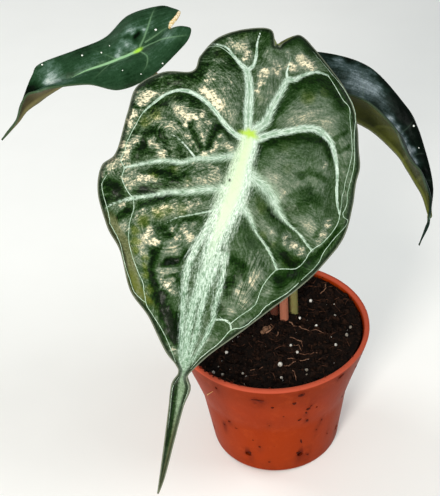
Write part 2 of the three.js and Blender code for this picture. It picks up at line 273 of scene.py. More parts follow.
# camera, floor and light
view = {
    "lens": 79.84,
    "place": (-21.6, -383.6, 407.1),
    "right": (0.9974, -0.0434, -0.0568),
    "up": (0.0715, 0.6058, 0.7924),
    "sensor": 36,
    # what lights the shadows, and half the floor's width
    "skyColour": (0.98, 1.0, 0.99, 1), "skyStrength": 0.38, "floorReach": 3000,
}

lights = {
    # name: azimuth from the front towards the right, elevation, distance, width, height, watts, colour
    "frontWindow": (-24, 20, 1050, 260, 230, 10, (1.0, 0.95, 0.86)),
    "rightSky": (75, 54, 1000, 480, 420, 4, (0.96, 1.0, 0.97)),
    "leftSky": (-122, 42, 1000, 480, 480, 3.4, (0.96, 1.0, 0.97)),
}
lightAim = (0, 0, 120)


def makeStudio():
    right = Vector(view["right"]).normalized()
    up = Vector(view["up"])
    up = (up - right * up.dot(right)).normalized()
    back = right.cross(up)
    camera = bpy.data.objects.new("camera", bpy.data.cameras.new("camera"))
    camera.data.lens = view["lens"]
    camera.data.sensor_width = view["sensor"]
    camera.data.clip_start = 0.01
    turn = Matrix((right, up, back)).transposed().to_4x4()
    camera.matrix_world = Matrix.Translation(Vector(view["place"]) * mm) @ turn
    bpy.context.scene.collection.objects.link(camera)
    bpy.context.scene.camera = camera
    for name, (azimuth, elevation, distance, width, height, watts, colour) in lights.items():
        lamp = bpy.data.lights.new(name, "AREA")
        lamp.shape = "RECTANGLE"
        lamp.size = width * mm
        lamp.size_y = height * mm
        lamp.energy = watts
        lamp.color = colour
        holder = bpy.data.objects.new(name, lamp)
        turn, lift = math.radians(azimuth), math.radians(elevation)
        outward = Vector((math.sin(turn) * math.cos(lift), -math.cos(turn) * math.cos(lift), math.sin(lift)))
        holder.location = (Vector(lightAim) + outward * distance) * mm
        holder.rotation_euler = (-outward).to_track_quat("-Z", "Y").to_euler()
        bpy.context.scene.collection.objects.link(holder)
    world = bpy.data.worlds.new("studio")
    world.use_nodes = True
    sky = world.node_tree.nodes["Background"].inputs
    sky["Color"].default_value = view["skyColour"]
    sky["Strength"].default_value = view["skyStrength"]
    bpy.context.scene.world = world
    bpy.context.scene.view_settings.view_transform = "Standard"
    material, bench = newMaterial("palePaper")
    tone = bench.noise(bench.place(), 0.02, 2)
    finishMaterial(bench, bench.mixColour(tone, (0.88, 0.88, 0.88, 1), (0.92, 0.92, 0.92, 1)), 0.9)
    reach = view["floorReach"]
    corners = [(-reach, -reach, 0), (reach, -reach, 0), (reach, reach, 0), (-reach, reach, 0)]
    plainMesh("floor", corners, [[0, 1, 2, 3]], [material])


makeStudio()
print("studio ready")


# blades are surfaces through rails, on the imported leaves' rows; only the front tail is wider here
def railPoints(rows, s, extend):
    # uniform Catmull-Rom through the rows; s from 0 to 1
    first = 2 * rows[0] - rows[1] if extend else rows[0]
    last = 2 * rows[-1] - rows[-2] if extend else rows[-1]
    padded = np.concatenate([first[None], rows, last[None]])
    position = np.clip(s, 0, 1) * (len(rows) - 1)
    row = np.minimum(len(rows) - 2, np.floor(position).astype(int))
    k = (position - row)[..., None]
    p, q, r, u = padded[row], padded[row + 1], padded[row + 2], padded[row + 3]
    return q + 0.5 * k * (r - p + k * (2 * p - 5 * q + 4 * r - u + k * (3 * (q - r) + u - p)))


def evenRows(surface, count):
    # values of s that space the rows evenly along the blade
    fine = np.linspace(0, 1, 1501)
    length = np.zeros(len(fine))
    for t in (-0.8, 0.0, 0.8):
        line = surface(fine, np.full(len(fine), t))
        length[1:] += np.cumsum(np.linalg.norm(np.diff(line, axis=0), axis=1))
    return np.interp(np.linspace(0, length[-1], count + 1), length, fine)


def pointAt(surface, s, t):
    # a single point of a surface that takes arrays
    return surface(np.array([s]), np.array([t]))[0]


def outwardAt(surface, s, t, step):
    along = pointAt(surface, s + 0.01, t) - pointAt(surface, s - 0.01, t)
    across = pointAt(surface, s, min(1, t + step)) - pointAt(surface, s, t - step)
    return unit(np.cross(along, across))


def bladePiece(name, surface, lowSurface, thicknessAt, rows, columns, materials):
    # closed thin blade: a fine upper face, an under face of a third of its rows and columns
    coarse = 3
    s, t = np.meshgrid(evenRows(lowSurface, rows), np.linspace(-1, 1, columns + 1), indexing="ij")
    top = surface(s, t)
    base = lowSurface(s, t)
    normals = unit(np.cross(np.gradient(base, axis=0), np.gradient(base, axis=1)))
    under = (base - normals * thicknessAt(s, t, base)[..., None])[::coarse, ::coarse]
    count = top.shape[0] * top.shape[1]
    upper = np.arange(count).reshape(top.shape[:2])
    lower = count + np.arange(under.shape[0] * under.shape[1]).reshape(under.shape[:2])
    quads = lambda a: np.stack([a[:-1, :-1], a[1:, :-1], a[1:, 1:], a[:-1, 1:]], axis=-1).reshape(-1, 4)
    upperFaces = quads(upper).tolist()
    lowerFaces = quads(lower)[:, ::-1].tolist()
    rim = []
    for fine, wide, forward in ((upper[:, 0], lower[:, 0], False), (upper[:, -1], lower[:, -1], True),
                                (upper[0], lower[0], True), (upper[-1], lower[-1], False)):
        for i in range(len(wide) - 1):
            edge = fine[coarse * i: coarse * i + coarse + 1].tolist()
            if forward:
                rim.append(edge + [int(wide[i + 1]), int(wide[i])])
            else:
                rim.append(edge[::-1] + [int(wide[i]), int(wide[i + 1])])
    points = np.concatenate([top.reshape(-1, 3), under.reshape(-1, 3)])
    slots = [0] * len(upperFaces) + [1] * len(lowerFaces) + [0] * len(rim)
    piece = plainMesh(name, points, upperFaces + lowerFaces + rim, materials, slots)
    # only the rim is shaded flat
    shadeSmooth(piece.data, np.arange(len(slots)) < len(upperFaces) + len(lowerFaces))
    spread = lambda field: np.concatenate([field.ravel(), field[::coarse, ::coarse].ravel()])
    return piece, s, t, spread


def smoothLine(points, step):
    # a line through points, with whatever is in their columns, in short even steps
    points = np.asarray(points, float)
    fine = railPoints(points, np.linspace(0, 1, 40 * len(points)), True)
    run = np.concatenate([[0], np.cumsum(np.linalg.norm(np.diff(fine[:, :-1], axis=0), axis=1))])
    count = max(3, int(run[-1] / step) + 1)
    even = np.linspace(0, run[-1], count)
    return np.stack([np.interp(even, run, fine[:, c]) for c in range(fine.shape[1])], axis=1), even


def nearestOnLine(places, line, run):
    # distance to a line, and at its nearest point the run along it and its last column
    best = np.full(len(places), np.inf)
    runAt = np.zeros(len(places))
    widthAt = np.zeros(len(places))
    for i in range(len(line) - 1):
        start, step = line[i, :-1], line[i + 1, :-1] - line[i, :-1]
        k = np.clip((places - start) @ step / max(step @ step, 1e-9), 0, 1)
        away = np.linalg.norm(places - start - k[:, None] * step, axis=1)
        closer = away < best
        best[closer] = away[closer]
        runAt[closer] = (run[i] + k * (run[i + 1] - run[i]))[closer]
        widthAt[closer] = (line[i, -1] + k * (line[i + 1, -1] - line[i, -1]))[closer]
    return best, runAt, widthAt


def nearCurve(places, points, step=1.6):
    # the same for a smooth line through points, and how long that line is
    line, run = smoothLine(points, step)
    return (*nearestOnLine(places, line, run), run[-1])


def roughField(places, size, octaves=2, seed=0.0):
    # rolling noise from -1 to 1 over points in millimetres
    flat = places.reshape(-1, places.shape[-1]) / size
    if flat.shape[1] == 2:
        flat = np.concatenate([flat, np.full((len(flat), 1), seed)], axis=1)
    values = [noise.fractal(Vector(p), 1.0, 2.0, octaves) for p in flat.tolist()]
    return np.array(values).reshape(places.shape[:-1])


# the front leaf's own plane: along runs from the joint to the tail, across to the right
frontLeaf = {
    "rows": 336, "columns": 210,
    "joint": (-6.7, -5, 173.7), "along": (-0.337, -0.572, -0.748), "across": (0.9415, -0.205, -0.268),
    "domeHeight": 3.1, "domeReach": 5.0, "wrinkle": 0.42, "thickness": 0.8, "ribHeight": 1.4, "ribHalfWidth": 2.2,
    "veinRadius": 0.19, "veinSink": 0.08, "speck": (19.8, -2.6), "fanRoot": (76.5, 12.1), "jointRow": 7,
}
frontAlong, frontAcross = (unit(np.array(frontLeaf[key], float)) for key in ("along", "across"))
frontNormal = unit(np.cross(frontAlong, frontAcross))

# from the notch to the tail's tip: along and across of the left margin, the midrib, the right margin
frontRows = np.array([
    [-40, 0.4, -39.6, 0.9, -40.1, 2.3],
    [-46.7, -2.8, -36.8, 0.4, -43.3, 3.6],
    [-45, -11.3, -32.5, 0.2, -48.3, 8.9],
    [-37.7, -23.2, -25, 0, -45, 16],
    [-27.5, -28.1, -16.5, 0, -38.3, 24.5],
    [-19.8, -29.3, -9.5, 0, -31.6, 32],
    [-16.4, -41, -4.3, 0, -24, 38.5],
    [-8, -50, 0, 0, -16, 42.5],
    [4.5, -50.2, 7.3, 0, -7, 45],
    [21, -50.5, 15, 0, 0, 47.2],
    [27.8, -54.4, 20, 0, 6.2, 47.4],
    [39, -52.7, 27.5, 0, 15.6, 48.4],
    [51, -45.2, 39, -0.4, 29.6, 48],
    [59, -37.2, 49, -1, 42, 43],
    [73, -29.2, 62, -1.5, 54.3, 35.4],
    [81.2, -19, 73.3, -1.6, 71, 22.7],
    [92.5, -9, 86, -1.6, 87, 10],
    [96.6, -3.8, 94.7, -0.6, 95.4, 4.6],
    [99.6, -1.8, 99.5, 0.2, 100.4, 2.3],
    [104.8, -3.2, 104.5, 0.8, 104.6, 4.6],
    [114.5, -1.8, 113.3, 1.5, 112.6, 4.1],
    [130.5, 0.4, 129.3, 2.4, 128.8, 4.3],
    [145, 2.2, 144.8, 3.3, 144.4, 4.6],
    [153.4, 3.2, 153.5, 3.6, 153.2, 4],
])

# pale ribs: feather width, haze share, then along, across and half-width of the pale band
frontRibs = {
    "leftLobe": (0.8, 0.35, [(-2, -1, 1.6), (-10, -3, 1.8), (-19, -5, 1.6), (-26, -8, 1.3), (-28, -11, 0.8),
                             (-31, -15, 0.5), (-34, -19, 0.35), (-34, -25, 0.25), (-32, -27, 0.2)]),
    "leftLobeFork": (0.5, 0.3, [(-26, -8, 0.9), (-29, -6, 0.65), (-34, -6, 0.5), (-39, -7, 0.35), (-45, -7, 0.2)]),
    "rightLobe": (1.2, 0.5, [(-3, 2, 1.8), (-7, 5, 1.6), (-14, 6, 1.25), (-22, 8, 1.1), (-27, 9, 1), (-28, 12, 0.8),
                             (-31, 15, 0.6), (-34, 20, 0.4), (-34, 25, 0.25)]),
    "rightLobeFork": (0.5, 0.5, [(-27, 9, 0.6), (-30, 8, 0.4), (-33, 8, 0.2), (-37, 8, 0.05)]),
    "rightUpper": (0.8, 0.3, [(1, 3, 1.6), (-3, 9, 1.3), (-6, 15, 1.2), (-9, 21, 1.3), (-10, 26, 1.4), (-8, 31, 1.2),
                              (-5, 34, 0.95), (3, 38, 0.6), (10, 40, 0.42), (17, 42, 0.34), (21, 44, 0.3)]),
    "rightMiddle": (2.2, 0.8, [(13, 1, 1.6), (16, 5, 1.5), (18, 10, 1.4), (21, 15, 1.2), (26, 19, 0.8),
                               (30, 24, 0.35), (33, 30, 0.28), (36, 34, 0.28), (38, 37, 0.28)]),
    "rightLower": (2.2, 0.75, [(25, 0, 1.2), (28, 4, 1), (32, 9, 0.6), (37, 13, 0.36), (41, 18, 0.3), (45, 22, 0.3),
                               (49, 25, 0.3)]),
    "leftUpper": (0.7, 0.3, [(2, -2, 1.2), (1, -6, 1), (-2, -11, 0.85), (-6, -16, 0.8), (-9, -21, 0.8),
                             (-11, -27, 0.75), (-11, -31, 0.65), (-10, -34, 0.55), (-7, -38, 0.45), (-3, -41, 0.35),
                             (2, -44, 0.32)]),
    "leftMiddle": (2.0, 0.75, [(9, -1, 1), (10, -4, 0.8), (13, -11, 0.7), (15, -18, 0.6), (18, -23, 0.5),
                               (19, -30, 0.5), (22, -37, 0.45), (26, -45, 0.3)]),
    "leftMiddleFork": (0.9, 0.5, [(15, -18, 0.4), (12, -22, 0.25), (9, -27, 0.15), (8, -31, 0.05)]),
    "leftLower": (2.2, 0.75, [(23, -2, 1.2), (24, -4, 0.9), (26, -11, 0.7), (29, -18, 0.6), (31, -25, 0.5),
                              (34, -31, 0.45), (37, -38, 0.4), (41, -45, 0.25), (44, -48, 0.15)]),
    "leftFaint": (1.2, 0.45, [(32, -3, 0.5), (34, -7, 0.3), (36, -11, 0.2), (38, -15, 0.15), (40, -19, 0.1),
                              (43, -22, 0.05)]),
    "tailBranch": (0.9, 0.5, [(75, 6, 0.35), (74, 11, 0.3), (75, 13, 0.3), (77, 14, 0.3)]),
}

# the brush of pale fibres down the middle: its two edges as along, across, then the strands in it
brushEdges = {
    "left": [(-2, -2.4), (3, -2.8), (12, -3.5), (22, -4.3), (30, -5.6), (38, -8.1), (47, -10.6), (56, -12.2),
             (64, -11.3), (71, -9.5), (79, -7.6), (87, -5.6), (95, -3.2), (99, -1.2), (104, -0.5),
             (113, 0.9), (130, 2.5), (153, 3.4)],
    "right": [(-2, 2.2), (2, 4.2), (9, 4.6), (14, 4.9), (20, 5.8), (27, 5.4), (34, 4.5), (43, 4.4), (51, 6), (59, 7.2),
              (67, 7.8), (75, 7.4), (84, 4.9), (93, 2.8), (98, 2), (104, 2.3), (113, 3.1), (130, 3.8), (153, 4.2)],
}
brushStrands = {
    "top": (1, [(0, 0.6, 2.6), (5, 0.9, 3.4), (12, 0.6, 3.7), (20, 0.7, 4.6), (28, 0, 5), (36, -1, 4.6),
                (43, -1.4, 3.8)]),
    "main": (1, [(34, -0.6, 3.6), (45, -1.8, 3.2), (55, -2, 2.7), (65, -2.5, 2), (75, -3.3, 1.5), (86, -1.8, 1.4),
             (96, -0.4, 1.4)]),
    "left": (0.8, [(34, -4, 2), (42, -6.2, 1.5), (50, -8.5, 1.4), (57, -9.4, 1.5), (65, -8.4, 1.4), (74, -6.7, 1.1),
             (82, -4.9, 1), (90, -3.1, 1), (98, -1, 0.8)]),
    "middle": (0.85, [(50, 1, 2.4), (62, 0.2, 1.8), (70, 0.1, 1.2), (78, 0.7, 1), (87, 0.9, 1), (94, 0.7, 1)]),
    "right": (0.75, [(49, 4, 1.1), (60, 5, 1.2), (66, 5.2, 1), (72, 5.5, 0.9), (75, 6, 0.8), (82, 5.2, 0.9),
              (89, 3.9, 0.9), (94, 2.2, 0.9)]),
    "tail": (1, [(93, 0, 1.9), (100, 0.3, 1.1), (104, 0.9, 1.1), (109, 1.6, 1), (114, 2.2, 0.9), (120, 2.7, 0.7),
             (131, 3.1, 0.4), (153, 3.6, 0.2)]),
}

# slim raised veins: along, across and radius factor
frontVeins = {
    "rightRing": [(10, 40, 1.1), (17, 42, 1), (21, 44, 1), (25, 44, 0.9), (31, 42, 0.9), (35, 40, 0.9), (38, 37, 1),
                  (41, 36, 0.9), (45, 34, 0.9), (47, 32, 0.9), (48, 28, 0.9), (49, 25, 1)],
    "rightRingLow": [(49, 25, 1), (55, 22, 1), (60, 21, 0.9), (65, 21, 0.9), (69, 18, 0.9), (72, 15, 0.9),
                     (75, 13, 0.9)],
    "rightMargin": [(-44, 17, 0.4), (-34, 28, 0.6), (-25, 38, 0.7), (-20, 41, 0.8), (-8, 43, 0.8), (3, 45, 0.8),
                    (16, 46, 0.8), (21, 45, 0.9), (23, 48, 0.6), (32, 44, 0.8), (42, 41, 0.8), (50, 36, 0.8),
                    (58, 31, 0.9), (64, 26, 0.9), (69, 23, 0.9), (75, 18, 0.9), (77, 14, 1), (83, 11, 0.9),
                    (91, 6, 0.8), (97, 3, 0.5)],
    "rightShoulder": [(-34, 25, 0.9), (-26, 33, 0.8), (-22, 38, 0.8), (-8, 42, 0.8), (3, 43, 0.7), (14, 44, 0.7),
                      (21, 44, 0.8)],
    "rightCrook": [(26, 19, 1), (30, 24, 1), (33, 30, 0.9), (36, 34, 0.9), (38, 37, 0.9)],
    "rightLowerEnd": [(37, 13, 1.1), (41, 18, 1.1), (45, 22, 1.1), (49, 25, 1.1)],
    "rightTailEnd": [(72, 6.6, 0.3), (74, 9.5, 0.6), (75, 13, 0.9), (77, 14, 1)],
    "leftRing": [(-7, -38, 1), (-3, -41, 1), (2, -44, 1), (7, -45, 0.9), (13, -47, 0.9), (17, -48, 0.9),
                 (23, -48, 0.9), (26, -45, 1), (30, -45, 0.9), (35, -41, 0.9), (37, -38, 0.9)],
    "leftRingLow": [(37, -38, 0.7), (41, -37, 0.8), (47, -37, 0.8), (52, -36, 0.8), (56, -34, 0.8), (65, -28, 0.8),
                    (69, -25, 0.8), (76, -22, 0.8), (84, -13, 0.7), (91, -7, 0.7), (96, -4, 0.5)],
    "leftMargin": [(31, -51, 0.7), (35, -52, 0.8), (40, -50, 0.8), (44, -48, 0.8), (49, -45, 0.8), (56, -38, 0.7),
                   (69, -31, 0.7), (74, -27, 0.7), (76, -22, 0.7)],
    "tailLeft": [(100.6, -1.1, 0.4), (104.8, -2.4, 0.5), (109, -1.9, 0.55), (114.5, -1, 0.5), (122, 0.1, 0.45),
                 (131, 1.2, 0.2)],
    "tailRight": [(101, 1.9, 0.4), (104.8, 3.8, 0.5), (110, 3.6, 0.45), (115, 3.5, 0.4), (121, 3.7, 0.2)],
    "leftFaintEnd": [(31, -4, 0.5), (34, -7, 0.7), (36, -11, 0.7), (38, -15, 0.6), (40, -19, 0.5), (43, -23, 0.4)],
    "leftLobeEnd": [(-30, -14, 1), (-32, -17, 0.9), (-34, -21, 0.8), (-34, -25, 0.6), (-32, -27, 0.4)],
}

# creases: depth share, darkness of the painted shade in the crease, then along and across
frontCreases = [
    (0.8, 0.9, [(-1, -25), (1.4, -23.8), (4.1, -22.3), (7.3, -19.8), (9.8, -17.4), (12, -15)]),
    (0.8, 0.9, [(-3, -13.4), (-0.6, -13.5), (2.1, -13.5), (5.5, -14.1), (8.5, -14.6), (12, -15.3)]),
    (0.75, 0.2, [(1, -36), (1, -31), (2, -27), (5, -24.4), (9, -21.4), (14, -15)]),
    (0.55, 0.2, [(7, -31), (11, -24), (15, -17)]),
    (0.8, 0.7, [(10, -37), (13, -30.5), (18, -27), (20, -22)]),
    (0.7, 0.7, [(12, -42), (17, -37), (16, -33)]),
    (0.6, 0.4, [(-4, -44), (-3, -36), (1, -30)]),
    (0.6, 0.8, [(21, -17), (23, -24), (24, -34)]),
    (0.6, 0.8, [(30, -21), (33, -28), (33, -38)]),
    (0.45, 0.4, [(52, -28.5), (55, -24.5), (60, -24), (65, -22), (69, -18)]),
    (0.7, 0.8, [(56, -20), (57, -16), (56, -12.5)]),
    (0.5, 0.5, [(44, -26), (47, -20), (46, -12)]),
    (0.2, 0, [(74, -15), (80, -11), (86, -7)]),
    (0.5, 0.5, [(26, -49), (32, -46), (38, -46)]),
    (0.4, 0.4, [(40, 24), (45, 30), (45, 34)]),
    (0.35, 0.3, [(12, 32), (16, 25), (22, 20)]),
]

# painted highlights, cream patches where the swells would catch the window: along, across, radius, strength
frontPaintedHighlights = [
    (-5.2, -45, 3, 1), (-2.2, -46.2, 1.8, 0.9), (4.3, -47.3, 1.8, 0.8), (7.1, -48.1, 1.5, 0.8),
    (14.4, -43.4, 2.2, 0.7), (17.6, -46.5, 1.7, 0.8), (-13, -22.3, 1.9, 1), (-11.7, -19.6, 1.9, 1),
    (-10, -17, 1.8, 1), (-8.4, -14.8, 1.5, 0.9), (0, -25.2, 1.2, 1), (-1.6, -23.1, 1.4, 1), (-3.4, -20.4, 1.4, 1),
    (3.3, -25.7, 1.1, 0.9), (6.5, -23.8, 1.2, 0.9), (9.5, -21.6, 1.2, 0.9), (11.7, -18.7, 1.1, 0.8),
    (-0.4, -16.9, 1.3, 0.9), (4, -11.5, 1, 0.8), (7.5, -11.9, 1.1, 0.9), (10.4, -13, 1.1, 0.8),
    (12.4, -15.4, 1.5, 0.9), (16.2, -11.6, 1.3, 0.6), (17.6, -8.4, 1.5, 0.5), (12.5, -37.2, 1.6, 0.6),
    (13.2, -34, 1.6, 0.6), (13.4, -30.6, 1.6, 0.65), (16.9, -30.4, 1.5, 0.65), (16.8, -27.4, 1.4, 0.6),
    (3.9, -38.8, 1.9, 0.4), (6.8, -5.6, 2.2, 0.6), (-18.3, -21.9, 1.7, 0.6), (20.1, -46.1, 2.1, 0.9),
    (18.3, -47.6, 1.7, 0.8), (17.3, -30.3, 1.9, 0.7), (28.1, -34.2, 1.5, 1), (28.2, -37.6, 1.3, 0.9),
    (27.9, -31.7, 1.1, 1), (29.7, -46.6, 1.7, 0.5), (40.9, -41.6, 1.5, 0.9), (41, -32.6, 1.4, 0.7),
    (39.1, -28.5, 1.5, 0.6), (36.7, -25.8, 1.8, 0.55), (35, -21.3, 1.8, 0.55), (33.6, -16, 2, 0.6),
    (31.6, -13.2, 1.5, 0.5), (47.9, -27.6, 1.7, 1), (49.5, -28.8, 1.3, 0.9), (52.5, -24.7, 1.6, 1),
    (51, -23.8, 1.3, 1), (44.8, -19.4, 1.5, 0.8), (46.9, -22.6, 1.3, 0.7), (43.1, -14.5, 1.7, 0.8),
    (41.1, -11.8, 1.7, 0.7), (47.4, -16.6, 1.4, 0.8), (46.3, -11.5, 1.4, 0.8), (17.1, -9, 1.7, 0.5),
    (67.6, -14.2, 2.1, 1), (66.5, -16.1, 1.6, 0.9), (68.3, -12, 1.7, 1), (68.4, -16.9, 1.3, 0.8),
    (90.7, -5.9, 2.2, 0.8), (89.4, -8.7, 1.5, 0.7), (64.7, -13.8, 1.3, 0.6), (-33, 9.9, 2.1, 0.8),
    (-37.6, 13.4, 2.7, 1), (-35.9, 16.5, 2.5, 1), (-37.6, 11.7, 1.9, 1), (-33, 8.6, 1.5, 0.9),
    (-34.5, 17.3, 1.5, 0.9), (-25.9, -0.7, 1.7, 0.8), (-21.7, -1.3, 1.7, 0.8), (-18.5, -1.7, 1.6, 0.8),
    (-30.5, 3.7, 1.9, 0.6), (-9.4, 16.3, 1.8, 0.2), (-8, 14.2, 1.5, 0.2), (-14.7, 20, 3, 0.15),
    (3.4, 32.7, 0.9, 0.7), (-32.3, -9.6, 1.7, 0.9), (37.9, 28.9, 2, 1.15), (39.8, 32, 1.8, 1.1),
    (36.1, 25.5, 1.9, 1.1), (25.7, 40.2, 1.8, 0.95), (30.3, 38.9, 1.8, 0.95), (33.4, 38.4, 1.5, 0.8),
    (-33.2, -9.8, 1.9, 0.9), (-30.9, -9.6, 1.5, 0.9), (-36.3, -11.5, 1.6, 0.5), (-28, -1.3, 1.4, 0.9),
    (-25.7, -1.5, 1.6, 0.9), (-31.3, 4.7, 1.6, 0.7), (-29, 4.5, 1.5, 0.6), (-19.6, -21.8, 1.7, 0.5),
    (-32.3, -21.6, 1.3, 0.5), (-35.2, -2.7, 1.9, 0.4),
]

# painted grey sheen, broad patches of reflected light on the swells: along, across, radius, strength
frontPaintedGreySheen = [
    (-12.8, -10.2, 5, 0.3), (-7, -10.7, 5, 0.35), (-20, -13.1, 5, 0.2), (-1.8, -30.3, 3.6, 0.9),
    (0.8, -35.9, 3, 0.6), (4, -31.1, 3, 0.7), (4.3, -27.7, 2.6, 0.5), (1.8, -20.8, 2.6, 0.6),
    (-6.3, -41.1, 2.2, 0.5), (10.1, -46.9, 2.4, 0.6), (3.9, -8.5, 2.6, 0.4), (24.8, -49.4, 3, 1),
    (25.2, -52.3, 2, 0.8), (31.4, -40.5, 2.8, 1), (31.1, -42.3, 2, 1), (21.4, -23.5, 2.4, 0.9),
    (22.3, -19, 2.6, 0.6), (21.2, -13.5, 2.8, 0.4), (20.6, -8.6, 3, 0.5), (17.8, -15.6, 2, 0.8),
    (26.3, -41.8, 2.6, 0.9), (1.3, -27.8, 2.4, 0.8), (2.4, -31.8, 2.6, 0.7), (3.1, -20.3, 1.5, 0.6),
    (0.6, -18.9, 1.5, 0.6), (5.4, -18.1, 1.3, 0.7), (2.2, -16.8, 1.4, 0.6), (7.8, -16.9, 0.9, 0.6),
    (24.4, -36.2, 3, 0.5), (43.1, -43.6, 2, 0.7), (48.8, -38.5, 2.1, 0.9), (52.8, -28.7, 2.8, 1),
    (56, -27, 2.1, 0.7), (47.1, -14.2, 2.4, 0.8), (50.3, -17, 3, 0.9), (44.3, -34.2, 2, 0.7),
    (62.9, -19.2, 2.5, 0.8), (60.7, -15.7, 2.5, 0.9), (54.6, -19, 2, 0.5), (72.1, -12.5, 1.9, 0.5),
    (82.9, 5.2, 3.4, 0.5), (-27.4, 1.4, 3, 0.6), (-24.7, 6.5, 3.5, 0.6), (-20, 4.7, 3, 0.5), (-17.3, 22.7, 6, 0.45),
    (-11.7, 18.3, 4, 0.4), (-14.5, 30.3, 4, 0.55), (-16.7, 15.2, 3, 0.5), (-9.7, 39.5, 3.5, 0.7),
    (-3.3, 40.2, 3, 0.7), (-9.8, 31.7, 3, 0.6), (2, 41.2, 2.5, 0.6), (7.1, 43.6, 2.5, 0.6), (6.7, 14.6, 4, 0.4),
    (12.4, 13.7, 3.5, 0.45), (10.4, 20.6, 4, 0.35), (0.1, 31, 3, 0.5), (5.3, 33.3, 3, 0.5), (-16.1, 1, 2.5, 0.5),
    (28.8, 33.3, 2.8, 0.6), (32.4, 33.6, 2.1, 0.6), (34.3, 19.7, 2, 0.8), (19.6, 20.3, 4, 0.6),
    (13.5, 25.7, 4, 0.5), (13.4, 31.6, 3, 0.5), (12.6, 43.8, 2, 0.6), (47.3, 17.5, 4, 0.8), (53.2, 18.3, 4, 0.8),
    (56.9, 24.4, 2.6, 0.8), (57.9, 16.3, 3, 0.7), (6.1, 33.5, 2.5, 0.4), (13.4, 11.5, 3, 0.4), (57, 16.5, 3, 0.7),
    (61.5, 13.6, 3, 0.7), (63.1, 16.6, 2, 0.6), (70.5, 11.3, 2.1, 0.7), (71.9, 18.3, 1.9, 0.7),
    (80.2, 7.4, 2.6, 0.4), (-35.3, -15.5, 2.7, 0.8), (-33, 0.4, 2.3, 0.7), (-27.6, -19.8, 2.6, 0.6),
    (-37, 21.6, 2.2, 0.6), (-27, 2.8, 3, 0.6), (-37.4, 6.6, 1.5, 0.6),
]
